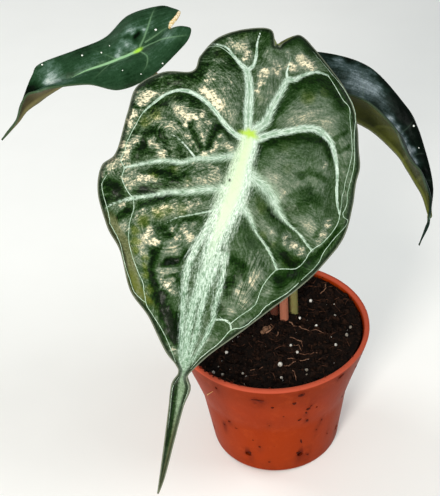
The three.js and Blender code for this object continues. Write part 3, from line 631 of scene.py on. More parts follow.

# painted shade, dark green in the valleys and on slopes turned away from the light: strength, half-width, then along
# and across
frontPaintedShade = [
    (0.9, 1, [(102, -1.5), (106, -1.2), (111, -0.5), (116, 0.3), (123, 1.1), (130, 1.7)]),
    (1.4, 2.6, [(-9.4, -48.1), (-11.3, -41.7), (-13.9, -34.7), (-14.7, -29.8), (-18.6, -26.2), (-23.3, -25.4)]),
    (0.8, 2.2, [(0.1, -41.7), (-3.6, -37.7), (-7.4, -32.8), (-9.5, -28.3), (-7.6, -23.5)]),
    (1.2, 1.3, [(0, -49.5), (1.2, -47.3)]),
    (1.4, 0.9, [(9.4, -43.6), (12.4, -45.8)]),
    (0.9, 1.3, [(0, -11.7), (1.7, -8.7), (3.5, -6.1)]),
    (1.3, 2, [(18, -42.3), (15.4, -40.6), (13.4, -39.4), (11.2, -40.4), (8.7, -37.3), (9.6, -34.6)]),
    (0.8, 1.3, [(14.9, -25.4), (15.5, -23.6)]),
    (0.9, 1.1, [(11.9, -40.2), (10, -35.8), (10.2, -32)]),
    (0.9, 1, [(9.4, -9.4), (10.1, -6.8)]),
    (1.4, 2.6, [(34.7, -49.8), (35.2, -46.6), (36.1, -43.9), (40.1, -47.9)]),
    (1.3, 1.9, [(46.3, -43.1), (43.9, -40.3), (42.1, -38.3)]),
    (1.2, 1.6, [(34.2, -38.4), (31.8, -34), (28.8, -29), (26.7, -22.9)]),
    (1.2, 1.7, [(19.3, -39.4), (20.9, -42.3), (18, -40.6)]),
    (0.7, 1, [(27, -38), (24.6, -34.5), (24.1, -29.6)]),
    (0.9, 0.9, [(39.6, -35.2), (37, -31.7), (34.2, -25.8)]),
    (0.6, 1, [(41.1, -18), (37.5, -10.8)]),
    (1.2, 1.8, [(53.5, -22.3), (57.9, -23.4), (62.5, -22.1), (66.3, -20.7), (69.8, -18.8)]),
    (1.2, 1.5, [(59.7, -19.7), (57.3, -16.7), (55, -13.2), (52.4, -11.1)]),
    (0.9, 1, [(62.3, -12.8), (64.3, -11.1)]),
    (1.5, 0.5, [(63.8, -17.3), (62.3, -14)]),
    (1.8, 3.4, [(71.5, -17.4), (75.2, -14.2), (79.7, -10.6), (83.5, -8.4), (86.2, -6.6)]),
    (0.8, 2.7, [(-24, 11.8), (-28.2, 15), (-30.6, 20), (-32, 25.3), (-29.6, 29.4), (-24, 34.3)]),
    (0.7, 2.3, [(-25.6, 19), (-27.3, 27.2)]),
    (0.7, 1.6, [(-19.5, 12), (-15.1, 8.9), (-9.5, 7.9), (-5.3, 8.2)]),
    (0.9, 0.9, [(-8.9, 34.4), (-10.8, 36.5), (-12.5, 37.5)]),
    (0.8, 0.9, [(-3.8, 37.5), (-7.4, 40.5)]),
    (0.8, 1.7, [(2.9, 6.6), (-1.8, 12.5), (-4.5, 20.1), (-6, 26.5), (-4.2, 31.8), (-0.9, 33.9)]),
    (0.6, 2, [(5, 5.1), (11.2, 5.5), (14.6, 8.5)]),
    (0.7, 1.5, [(10.6, 24), (8.3, 27.6), (8.7, 33.3)]),
    (0.8, 2.4, [(24.3, 21.2), (24.2, 26.1), (20.3, 28.3), (17.1, 30.8), (18.9, 33)]),
    (0.8, 1, [(29.5, 36.8), (32.7, 37)]),
    (1.1, 2.2, [(40.6, 23.4), (43.4, 26.6), (45.3, 29.5), (44.4, 32)]),
    (0.7, 1.1, [(39.1, 17.4), (42, 21.5), (45.6, 23.8)]),
    (0.6, 1.1, [(27, 16.1), (29.8, 21), (32.3, 26.8)]),
    (0.9, 2.8, [(52.6, 28.2), (50, 30), (48, 34.5)]),
    (0.9, 1.3, [(44.4, 35.6), (39.7, 39.1), (34.1, 42.6), (27.1, 44.9)]),
    (1, 2.1, [(50.1, 7.2), (51.2, 10.8), (55.2, 11.1), (59.3, 8.1), (63, 8.3)]),
    (0.9, 1.9, [(51, 26.5), (53.8, 28.1), (60.5, 26.7)]),
    (0.7, 1.3, [(70.6, 8), (67.9, 5.6)]),
    (0.8, 2.2, [(-36.6, -24.1), (-40.5, -16.9), (-43.7, -10.9), (-41.9, -7.8), (-38, -8.1)]),
    (0.9, 2.2, [(-28.8, -24.9), (-29.9, -20.9), (-30.7, -17.3), (-27.7, -14.3)]),
    (0.7, 1.5, [(-24, -22.6), (-24.7, -16.9), (-25.4, -11.1)]),
    (0.8, 2, [(-23.8, -26.8), (-19.1, -24.2)]),
    (0.7, 2, [(-44.5, -5), (-41.1, -3.3), (-37.7, -4.1), (-34.7, -5)]),
    (0.8, 2.6, [(-42.6, 4.9), (-45.6, 7.7), (-45.8, 12.1), (-42.9, 15.9)]),
]

# yellowish green patches: along, across, radius, strength
frontOlive = [
    (1.8, -39.4, 2.6, 0.9), (5.6, -42.1, 2.4, 0.9), (2.6, -37.4, 2, 0.6), (-1.7, -38, 3, 0.4),
    (-6.9, -33.1, 2.5, 0.4), (25.2, -32.5, 2, 0.8), (21.5, -25.3, 2.5, 0.6), (24.7, -18.5, 2, 0.4),
    (40.2, -26.5, 3, 0.8), (44.9, -31.4, 2.6, 0.9), (49.7, -33.9, 2, 1), (53.4, -32.4, 1.8, 1),
    (56.8, -31.4, 1.6, 1), (38, -23, 3, 0.6), (36.6, -18, 2.5, 0.5), (62.3, -25.7, 1.6, 0.9), (65.2, -24.5, 1.8, 1),
    (70.5, -21.3, 1.8, 1), (74.5, -20.3, 1.8, 0.9), (58.9, -27, 1.4, 0.8), (76.7, -15.4, 2.5, 0.4),
    (-22, 19, 3.4, 0.6), (-26.5, 25.1, 2.5, 0.6), (-15.9, 0.3, 2, 0.3), (-2.5, 16.4, 3.4, 0.3), (0.7, 14.7, 3, 0.3),
    (8.9, 18.5, 2.4, 0.3), (27, 13, 2.8, 0.5), (23.5, 10.6, 2.4, 0.4), (45, 28.6, 2.6, 0.6), (43.4, 31.5, 2, 0.5),
    (37.5, 15.7, 2, 0.5), (40.1, 21, 1.5, 0.5), (-29.9, -20.9, 2.2, 0.5), (-40.4, -13.5, 2, 0.4),
]

# where hair-like streaks fan out of one point: along, across, radius, strength
frontFans = [
    (59.5, 14.7, 5, 1), (49.5, 16.9, 4.5, 0.75), (65.7, 16.5, 3.4, 0.9), (64.7, 9.6, 2.6, 0.8),
]


def frontArch(along, across):
    low = 0.22 * along - 0.004 * along ** 2
    middle = 0.22 * along - 0.00196 * along ** 2
    tail = along - 100
    high = 2.4 - 0.172 * tail - 0.0045 * tail ** 2
    return -0.0034 * across ** 2 + np.where(along < 0, low, np.where(along < 100, middle, high))


def frontPlane(s, t):
    # along and across of a point of the blade, from rows through the margins and the midrib
    rows = railPoints(frontRows, s, False)
    part = np.abs(t)[..., None]
    side = np.where((t < 0)[..., None], rows[..., 0:2], rows[..., 4:6])
    return rows[..., 2:4] * (1 - part) + side * part


def raiseFront(plane, height):
    return (np.array(frontLeaf["joint"]) + plane[..., :1] * frontAlong + plane[..., 1:] * frontAcross
            + height[..., None] * frontNormal)


def blobs(flat, table):
    # the strongest of round patches at each point
    total = np.zeros(len(flat))
    for along, across, radius, strength in table:
        away = np.hypot(flat[:, 0] - along, flat[:, 1] - across) / radius
        total = np.maximum(total, strength * np.exp(-0.7 * away ** 3))
    return total


def frontFields(plane):
    # what relief and shader know about each point: ribs, brush, creases with their painted shade, patches of painted
    # highlight, painted grey sheen, painted shade and olive, and margin
    flat = plane.reshape(-1, 2)
    reach = frontLeaf["domeReach"]
    edge = np.full(len(flat), 1e3)
    names = ("ribRun", "ribSide", "ribFeather", "ribHaze", "brushGlow", "creaseShade")
    fields = {name: np.zeros(len(flat)) for name in names}
    swell = np.ones(len(flat))
    dip = np.zeros(len(flat))
    for number, (feather, haze, points) in enumerate(frontRibs.values()):
        away, runAt, width, _ = nearCurve(flat, points)
        closer = away - width < edge
        edge[closer] = (away - width)[closer]
        fields["ribRun"][closer] = (runAt + 61 * number)[closer]
        fields["ribSide"][closer] = away[closer]
        fields["ribFeather"][closer] = (feather * np.clip(width / 1.1, 0.25, 1))[closer]
        fields["ribHaze"][closer] = (haze * smoothStep(0, 0.6, width))[closer]
        swell *= 1 - np.exp(-(away / reach) ** 2) * smoothStep(-0.3, 0.5, width)
    for points in frontVeins.values():
        away = nearCurve(flat, points)[0]
        swell *= 1 - 0.8 * np.exp(-(away / (0.75 * reach)) ** 2)
    for depth, dark, points in frontCreases:
        away, runAt, _, length = nearCurve(flat, [(*point, 1) for point in points], 1.2)
        ends = smoothStep(0, 3, runAt) * smoothStep(length, length - 3, runAt)
        swell *= 1 - 0.7 * depth * ends * np.exp(-(away / (0.5 * reach)) ** 2)
        dip += depth * ends * np.exp(-(away / 1.1) ** 2)
        # painted shade along the crease
        fields["creaseShade"] = np.maximum(fields["creaseShade"], dark * ends * np.exp(-(away / 1.5) ** 2))
    for strength, points in brushStrands.values():
        away, _, width, _ = nearCurve(flat, points)
        fields["brushGlow"] = np.maximum(fields["brushGlow"], strength * np.exp(-0.6 * (away / width) ** 2))
    # ragged outlines for the patches
    shift = np.stack([roughField(flat, 4.0, 3, 11.0), roughField(flat, 4.0, 3, 17.0)], axis=1)
    ragged = flat + 1.1 * shift
    # painted shade along the listed valleys and slopes
    paintedShade = np.zeros(len(flat))
    for strength, width, points in frontPaintedShade:
        away = nearCurve(ragged, [(*point, 1) for point in points])[0]
        paintedShade = np.maximum(paintedShade, strength * np.exp(-0.7 * (away / width) ** 3))
    sides = [np.interp(flat[:, 0], *zip(*brushEdges[side])) for side in ("left", "right")]
    halfWidth = (sides[1] - sides[0]) / 2
    share = (flat[:, 1] - (sides[0] + sides[1]) / 2) / halfWidth
    outside = (np.abs(share) - 1) * halfWidth + 2.6
    swell *= 1 - np.exp(-(np.maximum(outside, 0) / reach) ** 2) * smoothStep(-7, -1, flat[:, 0])
    margin = np.full(len(flat), 1e3)
    for t in (-1.0, 1.0):
        line = frontPlane(np.linspace(0, 1, 170), np.full(170, t))
        away = nearestOnLine(flat, np.column_stack([line, np.zeros(170)]), np.zeros(170))[0]
        margin = np.minimum(margin, away)
    fields.update(ribEdge=edge, brushShare=share, marginAway=margin, domeLift=swell, creaseDip=dip,
                  sheen=blobs(ragged, frontPaintedHighlights), olive=blobs(ragged, frontOlive),
                  fan=blobs(ragged, frontFans), cast=0.22 * blobs(ragged, frontPaintedGreySheen) - 0.25 * paintedShade)
    root = np.array(frontLeaf["fanRoot"])
    fields["fanTurn"] = np.arctan2(flat[:, 1] - root[1], root[0] - flat[:, 0])
    fields["fanReach"] = np.linalg.norm(flat - root, axis=1)
    return {key: value.reshape(plane.shape[:-1]) for key, value in fields.items()}


def frontWave(plane, t):
    narrow = smoothStep(118, 92, plane[..., 0])
    phase = np.where(t < 0, 0.4, 2.2)
    return 1.3 * np.sin(0.23 * plane[..., 0] + phase) * np.abs(t) ** 3 * narrow


def frontLow(s, t):
    plane = frontPlane(s, t)
    return raiseFront(plane, frontArch(plane[..., 0], plane[..., 1]) + frontWave(plane, t))


def frontSurface(s, t):
    plane = frontPlane(s, t)
    fields = frontFields(plane)
    narrow = smoothStep(118, 92, plane[..., 0])
    edgeFade = 1 - 0.7 * np.abs(t) ** 6
    uneven = 1 + 0.35 * roughField(plane, 13.0, 2, 6.1)
    dome = frontLeaf["domeHeight"] * fields["domeLift"] * edgeFade * narrow * uneven
    rumple = frontLeaf["wrinkle"] * (1 + 0.8 * fields["sheen"]) * smoothStep(-0.5, 2.5, fields["ribEdge"])
    wrinkles = (roughField(plane, 5.5, 3, 2.7) * rumple - 0.3 * fields["creaseDip"]) * narrow
    wrinkles *= 1 - 0.8 * fields["brushGlow"]
    low = frontArch(plane[..., 0], plane[..., 1]) + frontWave(plane, t)
    points = raiseFront(plane, low + dome + wrinkles)
    # how much further a point faces down the leaf than the plain blade under it
    faces = [unit(np.cross(np.gradient(p, axis=0), np.gradient(p, axis=1)))
             for p in (points, raiseFront(plane, low))]
    tilt = (faces[0] - faces[1]) @ frontAlong
    swell, _, creaseShade, cast = (fields.pop(name) for name in ("domeLift", "creaseDip", "creaseShade", "cast"))
    # painted light and shade in the tone: slopes turned down the leaf lighter, painted highlights and painted grey
    # sheen brighter, painted shade and painted crease shade darker, the hollows between domes a little darker
    fields["tone"] = 0.3 * tilt + 0.36 * fields["sheen"] + cast - 0.45 * creaseShade + 0.06 * (swell - 0.5)
    frontLeaf.update(fields=fields, dome=dome, plane=plane)
    return points


def frontUpperMaterial():
    material, bench = newMaterial("frontBladeUpper")
    times, plus, around = bench.times, bench.plus, bench.around
    edge, run, side, feather, share = bench.attributes("ribEdge", "ribRun", "ribSide", "ribFeather", "brushShare")
    along, across, sheen, margin = bench.attributes("alongLeaf", "acrossLeaf", "sheen", "marginAway")
    place = bench.place()
    # hairs leave the ribs at a low angle, fibres in the brush follow it
    overHair = bench.math("SUBTRACT", times(side, 0.93), times(run, 0.37))
    alongHair = plus(times(run, 0.93), times(side, 0.37))
    edgeHair = bench.noise(bench.combine(times(alongHair, 0.35), times(overHair, 2.8), 0.0), 1.0, 3, 0.6)
    coreFibre = bench.noise(bench.combine(times(run, 0.3), times(side, 3.2), 4.0), 1.0, 3, 0.6)
    brushFibre = bench.noise(bench.combine(times(share, 8.0), times(along, 0.12), 3.0), 1.0, 5, 0.72, 0.5)
    brushHair = bench.noise(bench.combine(times(share, 21.0), times(along, 0.4), 8.0), 1.0, 4, 0.68, 0.5)
    hair = bench.noise(bench.combine(times(alongHair, 0.24), times(overHair, 1.5), 9.0), 1.0, 4, 0.7, 0.5)
    blotches = bench.noise(place, 0.2, 5, 0.68, 0.8)
    slanted = bench.combine(plus(times(along, 1.0), times(across, 0.35)), times(across, 0.5), 1.0)
    crinkle = bench.noise(slanted, 0.8, 5, 0.72, 0.8)
    grain = bench.noise(place, 1.2, 4, 0.65)
    # one tone from black green painted shade in the valleys to cream painted highlights on the swells
    rumpled = times(bench.mask(across, 6.0, -24.0), bench.spread(bench.mask(along, 26.0, 50.0), 1.0, 0.45))
    tone = plus(bench.spread(rumpled, 0.44, 0.5), bench.attribute("tone"), around(blotches, 0.22))
    tone = plus(tone, times(around(crinkle, 1.0), plus(0.22, times(rumpled, 0.8), times(sheen, 1.5))))
    tone = plus(tone, times(plus(around(grain, 0.5), around(hair, 0.6)), plus(1.0, times(rumpled, 0.9))))
    fan = bench.combine(times(bench.attribute("fanTurn"), 24.0), times(bench.attribute("fanReach"), 0.09), 5.0)
    streaks = bench.math("MINIMUM", around(bench.noise(fan, 1.0, 4, 0.65, 1.2), 2.0), 0.13)
    tone = plus(tone, times(streaks, bench.attribute("fan")))
    green = bench.ramp(tone, [(0.08, 4, 18, 2), (0.26, 20, 47, 8), (0.42, 52, 74, 44), (0.56, 85, 102, 82),
                              (0.7, 122, 132, 114), (0.84, 202, 194, 162), (0.95, 240, 232, 202)])
    dry = bench.ramp(tone, [(0.08, 6, 18, 0), (0.26, 26, 48, 3), (0.42, 58, 76, 18), (0.56, 88, 102, 44),
                            (0.7, 124, 131, 82), (0.84, 206, 196, 146), (0.95, 246, 238, 200)])
    green = bench.mixColour(times(bench.mask(bench.attribute("olive"), 0.05, 0.95), 0.9), green, dry)
    strip = times(bench.mask(margin, 5.6, 4.2), bench.mask(bench.attribute("leafSide"), -0.5, -0.7),
                  times(bench.mask(along, 43.0, 49.0), bench.mask(along, 78.0, 72.0)))
    dull = bench.mixColour(bench.mask(grain, 0.3, 0.7), srgb(72, 76, 44), srgb(118, 120, 84))
    dull = bench.mixColour(bench.mask(along, 60.0, 70.0), dull, srgb(92, 98, 34))
    green = bench.mixColour(times(strip, 0.75), green, dull)
    # side ribs: a pale core with hairy edges, inside streaky haze
    ragged = bench.math("SUBTRACT", edge, times(around(edgeHair, 2.6), feather))
    band = bench.mask(bench.math("DIVIDE", ragged, plus(feather, 0.1)), 0.7, -0.5)
    away = bench.math("DIVIDE", bench.math("MAXIMUM", edge, 0.0), plus(feather, 0.25))
    haze = times(bench.mask(away, 2.0, 0.0), bench.attribute("ribHaze"))
    haze = bench.mask(plus(haze, plus(around(edgeHair, 1.2), around(grain, 0.7))), 0.2, 0.95)
    haze = times(haze, bench.mask(away, 2.4, 0.8))
    pale = bench.mixColour(bench.mask(plus(coreFibre, around(grain, 0.4)), 0.36, 0.62), srgb(142, 172, 148),
                           srgb(218, 236, 224))
    groove = times(bench.mask(side, 0.5, 0.1), bench.mask(edge, -0.8, -1.1))
    pale = bench.mixColour(times(groove, 0.6), pale, srgb(120, 150, 122))
    colour = bench.mixColour(times(haze, 0.6), green, srgb(146, 170, 146))
    solid = bench.math("SUBTRACT", 0.95, times(bench.attribute("ribHaze"), 0.3))
    colour = bench.mixColour(times(band, solid), colour, pale)
    # the brush down the middle
    glow = bench.attribute("brushGlow")
    loose = plus(around(brushFibre, 1.4), around(brushHair, 1.0), around(grain, 0.5))
    inside = times(bench.mask(bench.math("ABSOLUTE", share), 1.3, 0.75), bench.mask(along, -4.0, 0.0))
    packed = bench.mask(along, 44.0, 24.0)
    strength = plus(times(glow, 0.85), times(inside, plus(0.16, times(packed, 0.14))))
    brush = bench.mask(plus(strength, times(loose, bench.mask(strength, 0.02, 0.3))), 0.1, 1.0)
    threads = plus(brushHair, around(grain, 0.35))
    bright = bench.mixColour(bench.mask(threads, 0.34, 0.64), srgb(150, 182, 156), srgb(226, 240, 230))
    crest = times(bench.mask(glow, 0.75, 1.0), bench.mask(along, 60.0, 30.0))
    bright = bench.mixColour(crest, bright, srgb(206, 226, 196))
    lowBright = bench.mixColour(bench.mask(threads, 0.38, 0.64), srgb(90, 124, 96), srgb(188, 211, 196))
    bright = bench.mixColour(bench.mask(along, 34.0, 80.0), bright, lowBright)
    tailBright = bench.mixColour(bench.mask(threads, 0.4, 0.6), srgb(82, 106, 72), srgb(138, 160, 128))
    bright = bench.mixColour(times(bench.mask(along, 92.0, 106.0), 0.8), bright, tailBright)
    bright = bench.mixColour(times(bench.mask(along, 112.0, 130.0), 0.8), bright, srgb(122, 122, 82))
    colour = bench.mixColour(brush, colour, bright)
    limeSide = times(bench.mask(share, 0.5, -0.2), bench.mask(along, 46.0, 4.0))
    colour = bench.mixColour(times(limeSide, brush, 0.35), colour, srgb(200, 222, 158))
    colour = bench.mixColour(bench.attribute("jointTint"), colour, srgb(176, 212, 70))
    # a dark seam and a pale rim along the margin
    colour = bench.mixColour(times(bench.mask(margin, 2.3, 1.2), 0.75), colour, srgb(10, 20, 8))
    rim = bench.mask(plus(margin, around(blotches, 0.5)), 0.62, 0.4)
    colour = bench.mixColour(times(rim, 0.5), colour, srgb(136, 142, 124))
    colour = bench.mixColour(bench.attribute("darkSpeck"), colour, srgb(20, 16, 12))
    roughness = plus(bench.spread(blotches, 0.2, 0.42), times(bench.math("MAXIMUM", band, brush), 0.2))
    height = plus(times(hair, 0.5), times(grain, 0.3), times(crinkle, plus(0.6, times(sheen, 1.4))),
                  times(brushHair, brush, 0.6))
    finishMaterial(bench, colour, roughness, height, 0.26,
                   {"Specular IOR Level": 0.05, "Coat Weight": 0.03, "Coat Roughness": 0.16})
    return material


def underMaterial(name, deep, pale, keel):
    # matt underside with a raised, paler midrib
    material, bench = newMaterial(name)
    place = bench.place()
    tone = bench.noise(place, 0.09, 4, 0.6)
    grain = bench.noise(place, 1.1, 3)
    colour = bench.mixColour(bench.mask(tone, 0.3, 0.7), deep, pale)
    colour = bench.mixColour(bench.times(bench.mask(bench.attribute("keelAway"), 3.0, 1.2), 0.8),
                             colour, keel)
    colour = bench.mixColour(bench.times(bench.mask(bench.attribute("ribEdge"), 1.2, 0.0), 0.4),
                             colour, keel)
    finishMaterial(bench, colour, bench.spread(grain, 0.42, 0.6), grain, 0.12,
                   {"Specular IOR Level": 0.12})
    return material


def veinMaterial():
    material, bench = newMaterial("paleVein")
    tone = bench.noise(bench.place(), 0.7, 3)
    colour = bench.mixColour(bench.mask(tone, 0.3, 0.7), srgb(138, 170, 142), srgb(200, 222, 204))
    finishMaterial(bench, colour, 0.42, tone, 0.05)
    return material


def snappedTubeTree(material):
    # tubes that follow lines laid on a surface
    tree, bench, given = newTree("veinsOnBlade", {
        "Surface": ("NodeSocketObject", None), "Tube radius": ("NodeSocketFloat", 0.4 * mm),
        "Step": ("NodeSocketFloat", 0.8 * mm), "Sink": ("NodeSocketVector", (0, 0, 0))})
    surface = bench.add("GeometryNodeObjectInfo", {"Object": given["Surface"]}, transform_space="RELATIVE")
    line = bench.add("GeometryNodeResampleCurve", {"Curve": given["Geometry"], "Length": given["Step"]},
                     mode="LENGTH")
    near = bench.add("GeometryNodeProximity", {0: surface.outputs["Geometry"]}, target_element="FACES")
    snapped = bench.add("GeometryNodeSetPosition", {
        "Geometry": line.outputs[0], "Position": near.outputs["Position"], "Offset": given["Sink"]})
    ring = bench.add("GeometryNodeCurvePrimitiveCircle", {"Resolution": 8, "Radius": given["Tube radius"]})
    tube = bench.add("GeometryNodeCurveToMesh", {
        "Curve": snapped.outputs[0], "Profile Curve": ring.outputs[0], "Fill Caps": True,
        "Scale": bench.add("GeometryNodeInputRadius").outputs[0]})
    closeTree(bench, tube.outputs[0], material)
    return tree


def jointStar(plane):
    # a soft star of lime where the stem meets the blade
    along, across = plane[..., 0] + 0.6, plane[..., 1] - 0.2
    turn = np.arctan2(across, along)
    arms = 1 + 0.22 * np.cos(5 * turn + 0.6)
    return 0.95 * smoothStep(1.45, 0.35, np.hypot(along / 1.7, across / 3.5) / arms)


def makeFrontLeaf():
    under = underMaterial("frontBladeUnder", srgb(58, 62, 34), srgb(92, 98, 52), srgb(140, 150, 92))

    def thickness(s, t, base):
        middle = frontLow(s, np.zeros_like(t))
        away = np.linalg.norm(base - middle, axis=-1) / frontLeaf["ribHalfWidth"]
        fade = smoothStep(0, 0.15, s) * (1 - 0.85 * s)
        return frontLeaf["thickness"] - frontLeaf["dome"] + frontLeaf["ribHeight"] * fade * np.exp(-away ** 2)

    piece, s, t, spread = bladePiece("frontBlade", frontSurface, frontLow, thickness, frontLeaf["rows"],
                                     frontLeaf["columns"], [frontUpperMaterial(), under])
    fields, plane = frontLeaf["fields"], frontLeaf["plane"]
    for key, field in fields.items():
        addValues(piece, key, spread(field))
    addValues(piece, "alongLeaf", spread(plane[..., 0]))
    addValues(piece, "acrossLeaf", spread(plane[..., 1]))
    addValues(piece, "leafSide", spread(t))
    addValues(piece, "keelAway", spread(np.abs(plane[..., 1])))
    addValues(piece, "jointTint", spread(jointStar(plane)))
    away = np.linalg.norm(plane - np.array(frontLeaf["speck"]), axis=-1)
    addValues(piece, "darkSpeck", spread(smoothStep(0.75, 0.3, away)))
    settle(piece, "leaf_front", "leaf_front")
    lines = []
    for points in frontVeins.values():
        line, _ = smoothLine(points, 2.0)
        places = raiseFront(line[:, :2], frontArch(line[:, 0], line[:, 1]) + 1.0)
        lines.append([(*place, width) for place, width in zip(places, line[:, 2])])
    veins = grow("frontVeins", linesObject("veinLines", lines), snappedTubeTree(veinMaterial()), {
        "Surface": piece, "Tube radius": frontLeaf["veinRadius"] * mm,
        "Sink": tuple(-frontLeaf["veinSink"] * mm * frontNormal)})
    shadeSmooth(veins.data)
    settle(veins, "leaf_front")


makeFrontLeaf()
print("front leaf ready")


# side leaves: left margin, midrib and right margin of each row, in millimetres
leftRows = np.array([
    [[-35, 41, 201.6], [-35.5, 40, 201.2], [-34.6, 39, 201]],
    [[-31, 45, 205.2], [-38, 38.2, 199.8], [-27.5, 36.4, 202.4]],
    [[-34.5, 48.2, 206.3], [-41.2, 37, 198.3], [-28.3, 32.8, 199.3]],
    [[-40.4, 50.8, 206.4], [-44.7, 35.3, 197], [-33, 29.8, 195.3]],
    [[-53.7, 49.8, 203.5], [-51.6, 32.8, 194.3], [-45.2, 22.5, 188.3]],
    [[-63.8, 42.8, 197.6], [-61, 31, 192], [-58.8, 20.2, 184.4]],
    [[-76.6, 38.2, 195], [-73.5, 28.8, 189], [-71.2, 21.4, 187.7]],
    [[-91.5, 33.6, 192.2], [-85.5, 27, 183.5], [-85.6, 18.2, 189.3]],
    [[-95, 30, 189], [-91, 26.2, 180.8], [-91.6, 18, 188]],
    [[-98, 25.8, 184.4], [-95.3, 24.5, 178.6], [-96.5, 19, 186.4]],
    [[-100.3, 21.6, 179.8], [-99.3, 21.9, 176], [-99.8, 18.8, 181.8]],
    [[-103.3, 18.4, 174], [-102.4, 19.3, 173.4], [-103, 16.8, 175]],
    [[-109.9, 15.3, 168], [-110, 15, 167.8], [-109.8, 14.6, 168]],
])

rightRows = np.array([
    [[24.6, 37.4, 164.2], [23.9, 39, 163.1], [23.5, 39.6, 164]],
    [[20, 31.8, 170], [26.8, 37.3, 162.4], [15.3, 45.3, 166.3]],
    [[26.6, 27.8, 174.6], [31.9, 34, 160], [18.3, 56, 175.3]],
    [[36, 25.2, 173], [39.2, 32.5, 156.2], [31.4, 57.3, 175.3]],
    [[46.9, 22.6, 168], [50, 30.6, 149.6], [51, 52.5, 169]],
    [[56.7, 17.6, 158], [60.4, 25.4, 140], [65.6, 40.5, 155]],
    [[60, 13.6, 151.2], [64.2, 22.1, 134.4], [70, 34.2, 147.6]],
    [[63.6, 11.2, 144.7], [67.7, 18.6, 128.8], [72.6, 27, 139.2]],
    [[67.3, 10.7, 140], [70.1, 14, 125.3], [74.3, 20.8, 131.8]],
    [[70.2, 9, 132], [71.5, 10.7, 121], [74.5, 15, 126]],
    [[71.7, 8.6, 124.8], [71.9, 7.9, 118], [73, 9.4, 121]],
    [[71.1, 6.7, 117.2], [71.6, 6.7, 116.6], [72.2, 7, 116.9]],
    [[69.5, 4, 114.2], [70.3, 4.1, 113.8], [71, 4.2, 113.9]],
    [[65.9, -0.8, 108.4], [66.1, -1, 108.2], [66.4, -0.8, 108.4]],
])

